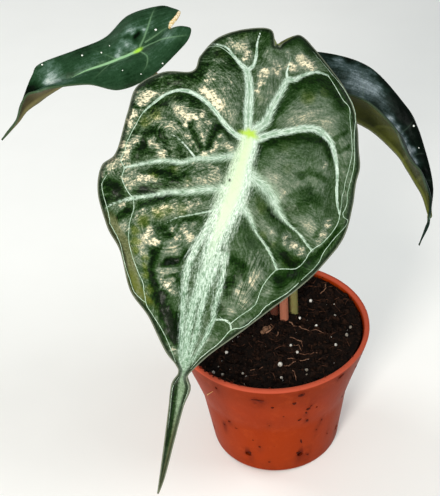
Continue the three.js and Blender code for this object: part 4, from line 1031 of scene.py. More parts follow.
# veins as shares along and across the blade, with the half-width of their pale line
sideLeaves = {
    "left": {
        "rowTable": leftRows, "swell": 0.35, "rows": 210, "columns": 84, "joint": 3.8 / 12,
        "tintLength": 2.3, "ribHeight": 1.1,
        "veins": [
            [(0.31, 0, 0.6), (0.36, 0, 0.55), (0.42, 0, 0.45), (0.5, 0, 0.34), (0.6, 0, 0.1)],
            [(0.304, -0.07, 0.3), (0.285, -0.2, 0.25), (0.271, -0.4, 0.22), (0.263, -0.66, 0.16),
             (0.258, -0.95, 0.08)],
            [(0.292, 0, 0.34), (0.25, 0.08, 0.26), (0.208, 0.2, 0.22), (0.18, 0.5, 0.16), (0.15, 0.9, 0.1)],
            [(0.279, -0.09, 0.25), (0.217, -0.12, 0.18), (0.1, -0.22, 0.08)],
            [(0.31, 0.1, 0.2), (0.308, 0.4, 0.16), (0.325, 0.65, 0.12), (0.346, 0.78, 0.05)],
            [(0.4, 0, 0.14), (0.43, -0.3, 0.1), (0.47, -0.8, 0.04)],
            [(0.42, 0, 0.14), (0.45, 0.3, 0.1), (0.49, 0.8, 0.04)],
        ],
        "torn": [(0, 0), (0.004, -0.3), (0.03, -0.7), (0.055, -0.9), (0.083, -1)], "tornWidth": 2.2,
        # painted sheen where the strength is positive, painted shade where it is negative: shares along and across,
        # radius, strength
        "sheenAndShadePatches": [
            (0.57, -0.55, 4.4, 0.26), (0.6, -0.1, 5, 0.28), (0.575, 0.4, 4, 0.22), (0.61, 0.6, 3, 0.16),
            (0.33, -0.5, 2.4, 0.32), (0.355, -0.26, 2.2, 0.3), (0.285, -0.36, 1.8, 0.3), (0.388, -0.12, 1.8, 0.34),
            (0.18, 0.5, 4.5, 0.07), (0.12, 0.5, 4, 0.06), (0.26, 0.6, 3.5, 0.09), (0.53, 0.2, 4, 0.14),
            (0.5, -0.1, 3, 0.12), (0.33, -0.12, 1.5, 0.22), (0.25, -0.42, 2, 0.12), (0.2, 0.45, 4, 0.05),
            (0.15, 0.2, 3, 0.05), (0.14, -0.6, 3, 0.1), (0.42, 0.35, 3, 0.06), (0.47, -0.3, 3, 0.08),
            (0.3, 0.5, 2.4, 0.08), (0.317, -0.34, 1.5, -0.6), (0.345, -0.36, 1, -0.34), (0.73, -0.6, 4.5, -0.42),
            (0.74, 0.1, 4, -0.34), (0.48, -0.9, 4, -0.16), (0.38, 0.9, 4, -0.14), (0.25, 0.9, 4, -0.12),
            (0.22, -0.95, 3, -0.2),
        ],
    },
    "right": {
        "rowTable": rightRows, "swell": 0.3, "rows": 240, "columns": 132, "joint": 2.6 / 13,
        "tintLength": 3.0, "ribHeight": 1.1,
        "veins": [
            [(0.2, 0, 0.7), (0.3, 0, 0.6), (0.5, 0, 0.5), (0.7, 0, 0.4), (0.85, 0, 0.2)],
            [(0.22, 0, 0.3), (0.2, 0.35, 0.2), (0.16, 0.8, 0.1)],
            [(0.26, 0, 0.3), (0.28, 0.4, 0.2), (0.29, 0.9, 0.08)],
            [(0.34, 0, 0.28), (0.38, 0.4, 0.2), (0.42, 0.9, 0.06)],
            [(0.44, 0, 0.25), (0.48, 0.4, 0.18), (0.54, 0.9, 0.06)],
            [(0.56, 0, 0.25), (0.6, 0.45, 0.15), (0.65, 0.9, 0.05)],
            [(0.22, 0, 0.3), (0.2, -0.4, 0.2), (0.15, -0.9, 0.1)],
            [(0.3, 0, 0.3), (0.34, -0.45, 0.2), (0.38, -0.9, 0.1)],
            [(0.42, 0, 0.28), (0.46, -0.45, 0.18), (0.52, -0.9, 0.08)],
            [(0.54, 0, 0.25), (0.58, -0.45, 0.15), (0.64, -0.9, 0.06)],
        ],
        "torn": [],
        "sheenAndShadePatches": [
            (0.345, 0.36, 2.3, 0.46), (0.365, 0.33, 2.3, 0.46), (0.39, 0.3, 2.3, 0.46), (0.44, 0.31, 2.3, 0.46),
            (0.49, 0.34, 2.3, 0.46), (0.28, 0.64, 4.6, 0.17), (0.295, 0.61, 4.2, 0.15), (0.26, 0.75, 5, 0.17),
            (0.245, 0.86, 3.4, 0.18), (0.255, 0.49, 3, 0.18), (0.315, 0.61, 3.4, 0.22), (0.33, 0.5, 3, 0.18),
            (0.31, 0.96, 3, 0.14), (0.28, 0.35, 2.6, 0.16), (0.355, 0.86, 3.4, -0.3), (0.375, 0.81, 3.6, -0.36),
            (0.41, 0.81, 3.6, -0.4), (0.475, 0.8, 3.4, -0.4), (0.535, 0.83, 3.4, -0.4), (0.595, 0.76, 3.4, -0.38),
            (0.66, 0.6, 3, -0.34), (0.275, 1, 2, -0.3), (0.3, 1, 2, -0.3), (0.325, 1, 2.2, -0.34),
            (0.34, 0.98, 2.2, -0.34), (0.24, 0.99, 2, -0.2), (0.4, -0.4, 6, 0.12), (0.55, -0.5, 6, 0.1),
            (0.25, -0.5, 6, 0.14),
        ],
    },
}


def sidePoint(leaf, s, t):
    rows, swell = leaf["rowTable"], leaf["swell"]
    middle = railPoints(rows[:, 1], s, True)
    margin = np.where((t < 0)[..., None], railPoints(rows[:, 0], s, True), railPoints(rows[:, 2], s, True))
    across = np.where((t < 0)[..., None], middle - margin, margin - middle)
    ahead = (railPoints(rows[:, 1], np.minimum(1, s + 0.02), True)
             - railPoints(rows[:, 1], np.maximum(0, s - 0.02), True))
    outward = unit(np.cross(ahead, across))
    part = np.abs(t)[..., None]
    width = np.linalg.norm(across, axis=-1, keepdims=True)
    return middle * (1 - part) + margin * part + outward * swell * width * part * (1 - part)


def sideUpperMaterial(name, stops, veinTone, jointTone):
    material, bench = newMaterial(name)
    times, plus, around = bench.times, bench.plus, bench.around
    place = bench.place()
    edge, run, side = bench.attributes("ribEdge", "bladeRun", "bladeSide")
    broad = bench.noise(place, 0.08, 4, 0.6, 0.4)
    slanted = bench.combine(plus(times(run, 0.12), times(side, 0.1)), times(side, 0.75), 2.0)
    streak = bench.noise(slanted, 1.0, 5, 0.7, 0.5)
    fine = bench.noise(place, 0.5, 4, 0.65)
    grain = bench.noise(place, 1.4, 3)
    # painted sheen and painted shade from the patches lift or lower the tone
    tone = plus(0.44, bench.attribute("sideSheenAndShade"))
    tone = plus(tone, plus(around(broad, 0.38), around(streak, 0.45)))
    tone = plus(tone, plus(around(fine, 0.2), around(grain, 0.22)))
    colour = bench.ramp(tone, stops)
    haze = times(bench.mask(edge, 2.0, 0.0), bench.mask(fine, 0.3, 0.7))
    colour = bench.mixColour(times(haze, times(bench.attribute("veinShow"), 0.2)), colour, veinTone)
    line = bench.mask(plus(edge, around(fine, 0.6)), 0.34, -0.12)
    colour = bench.mixColour(times(line, bench.attribute("veinShow")), colour, veinTone)
    colour = bench.mixColour(bench.attribute("jointTint"), colour, jointTone)
    rim = times(bench.mask(bench.attribute("marginShare"), 0.985, 0.998), 0.35)
    colour = bench.mixColour(rim, colour, srgb(84, 98, 72))
    torn = bench.mask(plus(bench.attribute("tornEdge"), around(fine, 0.7)), 0.35, 0.6)
    dried = bench.mixColour(bench.mask(grain, 0.4, 0.6), srgb(196, 168, 110), srgb(236, 224, 196))
    colour = bench.mixColour(torn, colour, dried)
    roughness = bench.spread(broad, 0.24, 0.4)
    height = plus(times(fine, 0.7), times(grain, 0.2), times(streak, 0.5))
    finishMaterial(bench, colour, roughness, height, 0.2,
                   {"Specular IOR Level": 0.03, "Coat Weight": 0.02, "Coat Roughness": 0.2})
    return material


def makeSideLeaf(side, upper, under):
    leaf = sideLeaves[side]
    lines = []
    for vein in leaf["veins"]:
        path, _ = smoothLine(vein, 0.02)
        places = sidePoint(leaf, path[:, 0], path[:, 1])
        run = np.concatenate([[0], np.cumsum(np.linalg.norm(np.diff(places, axis=0), axis=1))])
        lines.append((np.concatenate([places, path[:, 2:]], axis=1), run))

    def surface(s, t):
        base = sidePoint(leaf, s, t)
        flat = base.reshape(-1, 3)
        edge = np.full(len(flat), 1e3)
        show = np.zeros(len(flat))
        dip = np.ones(len(flat))
        for number, (line, run) in enumerate(lines):
            away, _, width = nearestOnLine(flat, line, run)
            closer = away - width < edge
            edge[closer] = (away - width)[closer]
            show[closer] = (0.9 if number == 0 else 0.3) * smoothStep(0.02, 0.2, width[closer])
            dip *= 1 - 0.8 * np.exp(-(away / 2.6) ** 2) * smoothStep(0, 0.3, width)
        leaf["edge"], leaf["show"] = edge.reshape(s.shape), show.reshape(s.shape)
        normals = unit(np.cross(np.gradient(base, axis=0), np.gradient(base, axis=1)))
        fade = smoothStep(0, 0.08, s) * smoothStep(1, 0.8, s) * (1 - np.abs(t) ** 6)
        relief = 0.7 * dip.reshape(s.shape) + 0.35 * roughField(base, 9.0, 3)
        return base + normals * (relief * fade)[..., None]

    low = lambda s, t: sidePoint(leaf, s, t)

    def thickness(s, t, base):
        away = np.linalg.norm(base - sidePoint(leaf, s, np.zeros_like(t)), axis=-1) / 1.8
        fade = smoothStep(0, 0.15, s) * (1 - 0.85 * s)
        return 0.8 - 0.3 * smoothStep(0.75, 1, s) + leaf["ribHeight"] * fade * np.exp(-away ** 2)

    piece, s, t, spread = bladePiece(side + "Blade", surface, low, thickness, leaf["rows"],
                                     leaf["columns"], [upper, under])
    base = sidePoint(leaf, s, t)
    joint = pointAt(low, leaf["joint"], 0.0)
    middle = sidePoint(leaf, s, np.zeros_like(t))
    # painted sheen and painted shade, patch by patch
    sideSheenAndShade = np.zeros(s.shape)
    wander = base + 1.6 * np.stack([roughField(base + shift, 4.0, 3) for shift in (20.0, 50.0, 80.0)], axis=-1)
    for along, across, radius, strength in leaf["sheenAndShadePatches"]:
        centre = pointAt(low, along, across)
        sideSheenAndShade += strength * np.exp(-0.8 * (np.linalg.norm(wander - centre, axis=-1) / radius) ** 2)
    addValues(piece, "sideSheenAndShade", spread(sideSheenAndShade))
    run = np.concatenate([[0], np.cumsum(np.linalg.norm(np.diff(middle[:, 0], axis=0), axis=-1))])
    addValues(piece, "bladeRun", spread(np.repeat(run[:, None], s.shape[1], axis=1)))
    addValues(piece, "bladeSide", spread(np.sign(t) * np.linalg.norm(base - middle, axis=-1)))
    tear = np.zeros(s.shape)
    if leaf["torn"]:
        path, _ = smoothLine([(*point, 1) for point in leaf["torn"]], 0.02)
        places = np.column_stack([sidePoint(leaf, path[:, 0], path[:, 1]), path[:, 2]])
        away = nearestOnLine(base.reshape(-1, 3), places, np.zeros(len(places)))[0]
        tear = smoothStep(leaf["tornWidth"], 0.3, away).reshape(s.shape)
    addValues(piece, "tornEdge", spread(tear))
    addValues(piece, "ribEdge", spread(leaf["edge"]))
    addValues(piece, "veinShow", spread(leaf["show"]))
    addValues(piece, "marginShare", spread(np.abs(t)))
    addValues(piece, "keelAway", spread(np.linalg.norm(base - middle, axis=-1)))
    away = np.hypot(np.linalg.norm(middle - joint, axis=-1) / leaf["tintLength"],
                    np.linalg.norm(base - middle, axis=-1) / 1.05)
    addValues(piece, "jointTint", spread(0.9 * smoothStep(1.4, 0.3, away)))
    settle(piece, "leaf_side", f"leaf_{side}")


makeSideLeaf(
    "left",
    sideUpperMaterial("leftBladeUpper", [(0.08, 3, 12, 4), (0.3, 16, 40, 20), (0.5, 36, 64, 42), (0.66, 72, 98, 84),
                                         (0.82, 142, 160, 156), (0.96, 206, 216, 212)],
                      srgb(142, 184, 140), srgb(156, 206, 44)),
    underMaterial("leftBladeUnder", srgb(60, 56, 32), srgb(92, 86, 56), srgb(110, 106, 70)))
makeSideLeaf(
    "right",
    sideUpperMaterial("rightBladeUpper", [(0.08, 1, 6, 3), (0.3, 8, 20, 13), (0.5, 26, 42, 36), (0.66, 70, 86, 86),
                                          (0.82, 140, 154, 160), (0.96, 204, 212, 214)],
                      srgb(92, 114, 98), srgb(120, 160, 60)),
    underMaterial("rightBladeUnder", srgb(40, 46, 10), srgb(66, 71, 22), srgb(88, 94, 40)))
print("side leaves ready")


# stems: the foot on the soil, the bends between, and the radii at foot and head
stemPaths = {
    "front": {"foot": (6.3, 7.4), "bends": [(6, 11, 105), (2, 14, 145)], "radii": (2.1, 1.6)},
    "left": {"foot": (1.9, 12.6), "bends": [(-2, 20, 98), (-20, 33, 145)], "radii": (2.1, 1.6)},
    "right": {"foot": (11.2, 11.4), "bends": [(12, 16, 98), (20, 27, 130)], "radii": (2.1, 1.6)},
}


def stemMaterial(name, low, high, reach):
    material, bench = newMaterial(name)
    place = bench.place()
    height = bench.add("ShaderNodeSeparateXYZ", {0: place}).outputs[2]
    flecks = bench.noise(bench.vector("MULTIPLY", place, (1.0, 1.0, 0.22)), 0.9, 4, 0.65)
    colour = bench.mixColour(bench.mask(height, *reach), low, high)
    colour = bench.mixColour(bench.times(bench.mask(flecks, 0.52, 0.72), 0.35), colour, srgb(96, 62, 44))
    finishMaterial(bench, colour, bench.spread(flecks, 0.32, 0.5), flecks, 0.1, {"Subsurface Weight": 0.06})
    return material


def stemTree(material):
    # a round, faintly ribbed stem that tapers along its line
    tree, bench, given = newTree("taperedStem", {
        "Foot radius": ("NodeSocketFloat", 2.1 * mm), "Head radius": ("NodeSocketFloat", 1.6 * mm),
        "Rings": ("NodeSocketInt", 90), "Sides": ("NodeSocketInt", 28)})
    line = bench.add("GeometryNodeResampleCurve", {"Curve": given["Geometry"], "Count": given["Rings"]})
    share = bench.add("GeometryNodeSplineParameter").outputs["Factor"]
    radius = bench.spread(share, given["Foot radius"], given["Head radius"])
    ring = bench.add("GeometryNodeCurvePrimitiveCircle", {"Resolution": given["Sides"], "Radius": 1.0})
    # eight faint ribs around 28 sides
    index = bench.add("GeometryNodeInputIndex").outputs[0]
    ripple = bench.plus(1.0, bench.times(bench.math("SINE", bench.times(index, 1.795)), 0.018))
    position = bench.add("GeometryNodeInputPosition").outputs[0]
    profile = bench.add("GeometryNodeSetPosition", {
        "Geometry": ring.outputs[0],
        "Position": bench.vector("MULTIPLY", position, bench.combine(ripple, ripple, 1.0))})
    tube = bench.add("GeometryNodeCurveToMesh", {
        "Curve": line.outputs[0], "Profile Curve": profile.outputs[0], "Fill Caps": True, "Scale": radius})
    closeTree(bench, tube.outputs[0], material)
    return tree


def surfaceJoint(side):
    # the point under the blade where the stem ends, and the way out of the blade
    if side == "front":
        share, rib = frontLeaf["jointRow"] / (len(frontRows) - 1), frontLeaf["ribHeight"]
        surface = frontLow
    else:
        share, rib = sideLeaves[side]["joint"], sideLeaves[side]["ribHeight"]
        surface = lambda s, t: sidePoint(sideLeaves[side], s, t)
    outward = outwardAt(surface, share, 0.0, 0.02)
    return pointAt(surface, share, 0.0) - outward * (frontLeaf["thickness"] + rib * (1 - 0.85 * share)), outward


def makeStem(side, material):
    path = stemPaths[side]
    joint, outward = surfaceJoint(side)
    x, y = path["foot"]
    points = [(x, y, 52), (x, y, 67), *path["bends"], joint - outward * 9, joint - outward * 0.3]
    line, _ = smoothLine([(*point, 1) for point in points], 2.0)
    piece = grow(side + "Stem", linesObject(side + "Line", [line]), stemTree(material), {
        "Foot radius": path["radii"][0] * mm, "Head radius": path["radii"][1] * mm})
    shadeSmooth(piece.data)
    settle(piece, "stem_green" if side == "right" else "stem_pink", f"stem_{side}")


makeStem("front", stemMaterial("frontStemSkin", srgb(168, 104, 82), srgb(118, 126, 72), (72.0, 128.0)))
makeStem("left", stemMaterial("leftStemSkin", srgb(92, 52, 40), srgb(108, 118, 68), (72.0, 128.0)))
makeStem("right", stemMaterial("rightStemSkin", srgb(124, 122, 74), srgb(92, 108, 56), (66.0, 120.0)))
print("stems ready")


# pot: radius and height along its outer and its inner profile
pot = {
    "sides": 192,
    "outer": [(0, 0), (14, 0), (29, 0), (30.1, 0.35), (30.6, 1), (30.85, 2), (31.9, 10), (33, 18), (34.2, 27),
              (34.75, 31), (35.15, 33.6), (36.1, 36.6), (38.2, 44), (40.6, 52), (43, 60), (44.2, 64.3), (44.75, 66.3),
              (44.95, 67), (44.9, 67.6), (44.5, 68), (43.9, 68.1)],
    "inner": [(43.2, 68.05), (42.8, 67.8), (42.6, 67.2), (42.2, 65.6), (40, 57.1), (36.5, 43.5), (33.8, 33),
              (32, 20), (29.6, 2.8), (28.6, 1.8), (14, 1.8), (0, 1.8)],
    "holeRadius": 1.4, "holeHeight": 11.5, "holeCount": 8, "holeTurn": 0.29, "holeSides": 24,
    "slotCount": 6, "slotSize": (7, 12, 2), "slotTurn": 0.125,
    # how far out the cutters stand, half the length of a hole's cutter, and the stain around a hole
    "holeReach": 31.4, "slotReach": 28.3, "holeCut": 3, "holeStain": 1.6,
    "lipHeight": 68.1,
    # crumbs left on the lip: azimuth, radius, size
    "lipCrumbs": [(-153, 43.3, 0.5), (-149, 42.9, 0.8), (-145, 43.5, 0.4), (-142, 43, 0.7), (-138, 43.3, 0.5),
                  (-134, 42.8, 0.8), (-131, 43.6, 0.4), (-127, 43, 0.6), (-123, 43.3, 0.45), (-119, 42.8, 0.6),
                  (-114, 43, 0.4), (-96, 42.8, 0.4), (-62, 42.9, 0.4), (-38, 42.8, 0.4)],
    # azimuth and height of both ends of the thread on the wall
    "fibre": ((-146, 46), (-134.6, 56)),
}

# soil smears on the wall: azimuth in degrees, height, half-length, half-height, slant, proud of the wall
potMarks = [
    (-102.5, 60.8, 2.2, 0.45, -6, 0.35), (-105, 61.2, 1.6, 0.25, 4, 0.2), (-77.7, 62.9, 1.7, 0.9, 12, 0.5),
    (-81.6, 56.8, 0.9, 0.8, 0, 0.6), (-94.9, 54.8, 0.7, 0.6, 20, 0.35), (-71.4, 48.6, 1.1, 0.8, 25, 0.5),
    (-69.5, 50.6, 0.7, 0.4, 30, 0.3), (-72.3, 45.6, 0.45, 0.8, 0, 0.3), (-64.8, 47.2, 0.5, 0.5, 0, 0.3),
    (-76.2, 40.6, 1.1, 0.5, 32, 0.4), (-70.2, 37.9, 0.65, 0.8, 0, 0.6), (-131.2, 32.3, 0.8, 0.5, 0, 0.3),
    (-125.7, 29.3, 0.8, 0.3, 10, 0.2), (-107, 19.6, 0.6, 0.5, 0, 0.4), (-73.3, 22.1, 0.4, 1.9, 8, 0.3),
    (-45.8, 16.5, 0.4, 0.4, 0, 0.25), (-55.6, 31.8, 0.4, 0.5, 0, 0.25), (-51.3, 64.5, 1.8, 0.6, 14, 0.35),
    (-116.6, 13.1, 0.9, 0.7, 0, 0.4), (-75.2, 13.4, 1.0, 0.6, 10, 0.5), (-129.7, 61.8, 0.5, 0.9, 20, 0.3),
    (-138, 27, 0.4, 0.3, 0, 0.2), (-88, 46, 0.4, 0.3, 0, 0.15), (-98, 38, 0.3, 0.3, 0, 0.15),
    (-60, 26, 0.4, 0.3, 0, 0.2), (-112, 24, 0.5, 0.3, 0, 0.2), (-66, 9, 0.7, 0.4, 0, 0.3),
    (-100, 8, 0.6, 0.4, 0, 0.3), (28, 42, 1.2, 0.6, 15, 0.2), (64, 55, 1.5, 0.5, -8, 0.4),
    (110, 30, 0.8, 0.6, 0, 0.4), (150, 48, 1.1, 0.5, 20, 0.4), (175, 22, 0.7, 0.7, 0, 0.4),
    (-32, 58, 1.3, 0.4, -12, 0.2), (-32, 36, 0.6, 0.5, 0, 0.2),
]


def wallRadius(height):
    # points 5 to 17 of the outer profile are the wall above the foot
    radii, heights = zip(*pot["outer"][5:18])
    return float(np.interp(height, heights, radii))


def potMaterial():
    material, bench = newMaterial("terracottaPlastic")
    place = bench.place()
    parts = bench.add("ShaderNodeSeparateXYZ", {0: place}).outputs
    broad = bench.noise(place, 0.03, 2)
    cloud = bench.noise(place, 0.18, 5, 0.6)
    scuff = bench.noise(bench.vector("MULTIPLY", place, (1.0, 1.0, 0.15)), 0.9, 4, 0.7)
    speck = bench.noise(place, 1.1, 3, 0.7)
    body = bench.mixColour(bench.mask(broad, 0.35, 0.65), srgb(130, 39, 2), srgb(140, 45, 5))
    body = bench.mixColour(bench.mask(parts[2], 52.0, 8.0), body, srgb(139, 46, 8))
    body = bench.mixColour(bench.mask(parts[2], 46.0, 62.0), body, srgb(122, 37, 0))
    body = bench.mixColour(bench.times(bench.mask(cloud, 0.5, 0.75), 0.25), body, srgb(168, 70, 28))
    # painted highlight: the lip from its roll upward is lighter
    body = bench.mixColour(bench.mask(parts[2], 66.4, 67.3), body, srgb(174, 76, 54))
    stain = bench.plus(bench.attribute("stain"), bench.times(bench.mask(speck, 0.62, 0.7), 0.6))
    patchy = bench.times(stain, bench.mask(cloud, 0.3, 0.62))
    body = bench.mixColour(bench.math("MINIMUM", patchy, 0.8), body, srgb(74, 16, 8))
    roughness = bench.plus(bench.spread(scuff, 0.3, 0.5), bench.times(patchy, 0.2))
    finishMaterial(bench, body, roughness, scuff, 0.05, {"Specular IOR Level": 0.03})
    return material


def dirtMaterial(name, deep, lit, size):
    material, bench = newMaterial(name)
    place = bench.place()
    tone = bench.noise(place, size, 4, 0.65)
    grain = bench.noise(place, 4.0, 3)
    colour = bench.mixColour(bench.mask(tone, 0.36, 0.68), deep, lit)
    finishMaterial(bench, colour, bench.spread(tone, 0.75, 0.95), grain, 0.12,
                   {"Specular IOR Level": 0.08})
    return material


def anyVector(bench, low, high, seed):
    return bench.add("FunctionNodeRandomValue", {0: low, 1: high, "Seed": seed}, data_type="FLOAT_VECTOR").outputs[0]


def copiesOn(bench, points, thing, turn, scale):
    rotation = bench.add("FunctionNodeEulerToRotation", {0: turn})
    copies = bench.add("GeometryNodeInstanceOnPoints", {
        "Points": points, "Instance": thing, "Rotation": rotation.outputs[0], "Scale": scale})
    return copies.outputs[0]


def roughened(bench, copies, grainScale, detail, depth):
    # noise pushes every point of the copies about
    real = bench.add("GeometryNodeRealizeInstances", {0: copies})
    grain = bench.add("ShaderNodeTexNoise", {"Scale": grainScale, "Detail": detail})
    shift = bench.scaled(bench.vector("SUBTRACT", grain.outputs["Color"], (0.5, 0.5, 0.5)), depth)
    return bench.add("GeometryNodeSetPosition", {"Geometry": real.outputs[0], "Offset": shift}).outputs[0]


def lumpTree(material):
    # one lump on every point, sized and turned by the point's own values, then roughened
    tree, bench, given = newTree("lumpsOnPoints", {
        "Fineness": ("NodeSocketInt", 3), "Grain": ("NodeSocketFloat", 900.0),
        "Roughness": ("NodeSocketFloat", 0.2 * mm)})
    ball = bench.add("GeometryNodeMeshIcoSphere", {"Radius": 1.0, "Subdivisions": given["Fineness"]})
    size = bench.add("GeometryNodeInputNamedAttribute", {"Name": "size"}, data_type="FLOAT_VECTOR")
    turn = bench.add("GeometryNodeInputNamedAttribute", {"Name": "turn"}, data_type="FLOAT_VECTOR")
    points = bench.add("GeometryNodeMeshToPoints", {0: given["Geometry"]})
    lumps = copiesOn(bench, points.outputs[0], ball.outputs[0], turn.outputs[0], size.outputs[0])
    rough = roughened(bench, lumps, given["Grain"], 2.0, given["Roughness"])
    shaded = bench.add("GeometryNodeSetShadeSmooth", {"Geometry": rough, "Shade Smooth": True})
    closeTree(bench, shaded.outputs[0], material)
    return tree


def fibreTubeTree(material):
    # a thin round thread along a line
    tree, bench, given = newTree("threadOnLine", {"Thickness": ("NodeSocketFloat", 0.22 * mm)})
    ring = bench.add("GeometryNodeCurvePrimitiveCircle", {"Resolution": 6, "Radius": given["Thickness"]})
    tube = bench.add("GeometryNodeCurveToMesh", {
        "Curve": given["Geometry"], "Profile Curve": ring.outputs[0], "Fill Caps": True,
        "Scale": bench.add("GeometryNodeInputRadius").outputs[0]})
    closeTree(bench, tube.outputs[0], material)
    return tree


def makePot():
    profile = pot["outer"] + pot["inner"]
    sides = pot["sides"]
    points = [(0, 0, profile[0][1])]
    angles = np.arange(sides) * 2 * math.pi / sides
    for radius, height in profile[1:-1]:
        points += [polar(radius, a, height) for a in angles]
    points.append((0, 0, profile[-1][1]))
    last = len(points) - 1
    rings = len(profile) - 2
    faces = []
    for i in range(sides):
        j = (i + 1) % sides
        faces.append([0, 1 + j, 1 + i])
        faces.append([last, 1 + (rings - 1) * sides + i, 1 + (rings - 1) * sides + j])
        for ring in range(rings - 1):
            a = 1 + ring * sides
            b = a + sides
            faces.append([a + i, a + j, b + j, b + i])
    material = potMaterial()
    shell = plainMesh("potShell", points, faces, [material])
    # drain holes and foot slots, all in one cutter
    cutPoints, cutFaces = [], []

    def addCutter(shape, angle, radius, height):
        start = len(cutPoints)
        outward = Vector((math.cos(angle), math.sin(angle), 0))
        sideways = Vector((-math.sin(angle), math.cos(angle), 0))
        for x, y, z in shape[0]:
            place = outward * (radius + x) + sideways * y
            cutPoints.append((place.x, place.y, height + z))
        cutFaces.extend([[start + n for n in face] for face in shape[1]])

    count = pot["holeSides"]
    ring = [polar(pot["holeRadius"], a, 0)[:2] for a in np.arange(count) * 2 * math.pi / count]
    holeFaces = [list(range(count))[::-1], list(range(count, 2 * count))]
    holeFaces += [[i, (i + 1) % count, count + (i + 1) % count, count + i] for i in range(count)]
    hole = ([(x, y, z) for x in (-pot["holeCut"], pot["holeCut"]) for y, z in ring], holeFaces)
    corners = [(x / 2, y / 2, z / 2) for x, y, z in product(*((-size, size) for size in pot["slotSize"]))]
    slot = (corners, [[0, 1, 3, 2], [4, 6, 7, 5], [0, 4, 5, 1], [2, 3, 7, 6], [0, 2, 6, 4], [1, 5, 7, 3]])
    holeAngles, slotAngles = (
        [pot[kind + "Turn"] - math.pi / 2 + i * 2 * math.pi / pot[kind + "Count"] for i in range(pot[kind + "Count"])]
        for kind in ("hole", "slot"))
    for angle in holeAngles:
        addCutter(hole, angle, pot["holeReach"], pot["holeHeight"])
    for angle in slotAngles:
        addCutter(slot, angle, pot["slotReach"], 0)
    cutter = plainMesh("potCutter", cutPoints, cutFaces, [material])
    boolean = shell.modifiers.new("openings", "BOOLEAN")
    boolean.operation = "DIFFERENCE"
    boolean.solver = "EXACT"
    boolean.object = cutter
    depsgraph = bpy.context.evaluated_depsgraph_get()
    cut = bpy.data.meshes.new_from_object(shell.evaluated_get(depsgraph), depsgraph=depsgraph)
    shell.modifiers.remove(boolean)
    shell.data = cut
    bpy.data.objects.remove(cutter)
    cut.set_sharp_from_angle(angle=math.radians(40))
    # old soil stains around the marks, the holes and the foot
    places = np.array([v.co for v in cut.vertices]) / mm
    azimuth = np.degrees(np.arctan2(places[:, 1], places[:, 0]))
    stain = 0.35 * smoothStep(5, 0, places[:, 2])
    spots = [mark[:4] for mark in potMarks]
    spots += [(math.degrees(angle), pot["holeHeight"], pot["holeStain"], pot["holeStain"]) for angle in holeAngles]
    for angle, height, length, width in spots:
        turn = (azimuth - angle + 180) % 360 - 180
        dx = np.radians(turn) * wallRadius(height) / (length + 1.2)
        dz = (places[:, 2] - height) / (width + 1.2)
        stain += np.exp(-(dx ** 2 + dz ** 2) * 1.2)
    addValues(shell, "stain", np.clip(stain, 0, 1))
    settle(shell, "pot", "pot")
    # caked marks that stand proud of the wall
    places = []
    for angle, height, length, width, slant, proud in potMarks:
        azimuth = math.radians(angle)
        radius = wallRadius(height)
        turn = (Matrix.Rotation(azimuth, 3, "Z") @ Matrix.Rotation(math.radians(slant), 3, "X")).to_euler()
        places.append((polar(radius, azimuth, height), (proud, length, width), turn))
    for angle, radius, size in pot["lipCrumbs"]:
        azimuth = math.radians(angle)
        place = polar(radius, azimuth, pot["lipHeight"])
        places.append((place, (size, 1.3 * size, 0.7 * size), (0, 0, azimuth)))
    marks = grow("potMarks", pointsObject("markPoints", places),
                 lumpTree(dirtMaterial("cakedSoil", srgb(46, 14, 8), srgb(92, 30, 16), 0.7)),
                 {"Fineness": 3, "Grain": 1400.0, "Roughness": 0.3 * mm})
    settle(marks, "soil")
    # one pale fibre stuck across the front left of the wall
    line = []
    (startAngle, startHeight), (endAngle, endHeight) = pot["fibre"]
    for share in np.linspace(0, 1, 14):
        azimuth = math.radians(startAngle + share * (endAngle - startAngle))
        height = startHeight + share * (endHeight - startHeight)
        radius = wallRadius(height) + 0.12 + 0.5 * math.sin(share * math.pi) ** 2
        line.append((*polar(radius, azimuth, height), 1 - 0.5 * share))
    straw = dirtMaterial("paleStraw", srgb(196, 150, 96), srgb(226, 184, 132), 0.5)
    settle(grow("potFibre", linesObject("fibreLine", [line]), fibreTubeTree(straw), {}), "soil")


makePot()
print("pot ready")


# soil: sizes of its bed, then what is thrown on it
soil = {
    "level": 64, "topRadius": 41.35, "rings": 62, "sectors": 192,
    "side": [(33.5, 33), (29.3, 3.1), (28.3, 2.1)],
    # how many on a square metre, smallest and largest radius, seed, fineness, roughness
    "soilCrumbs": (520000, 0.22, 0.75, 4, 1, 0.5),
    "soilClods": (52000, 0.7, 1.5, 9, 2, 1.0),
    "perliteDust": (8000, 0.18, 0.42, 33, 2, 0.2),
    "fibreDensity": 26000,
}

perliteBeads = [
    (1.5, -25.5, 1.3), (13, -28.5, 0.9), (29.5, 17, 1), (20, 18, 0.9), (36, -4, 0.9), (20.5, -0.5, 0.8),
    (13.5, 6.5, 0.8), (7.5, -12, 0.8), (10, -17, 0.8), (33.5, -9.5, 0.9), (28, -13.5, 0.8), (30, 6, 0.8),
    (1.5, -31.5, 0.8), (-14, -31, 0.8), (-15.5, -27.5, 0.7), (-24.5, -28, 0.8), (-28.5, -26.5, 0.9),
    (-22, -13.5, 0.9), (-9, 20, 0.9), (-26, 8, 0.8), (6, 30, 0.9),
]

# pieces of bark: x, y and height over the bed, half-sizes, turn
barkPieces = [
    ((-3, 0, 0.5), (1.9, 1.5, 1.3), (0.3, 0.2, 0.9)),
    ((-4.6, -1.6, 0.3), (1.2, 1.0, 0.9), (0.1, 0.6, 0.3)),
    ((-1.4, 1.2, 0.3), (1.1, 0.9, 1.0), (0.5, 0.1, 1.9)),
]

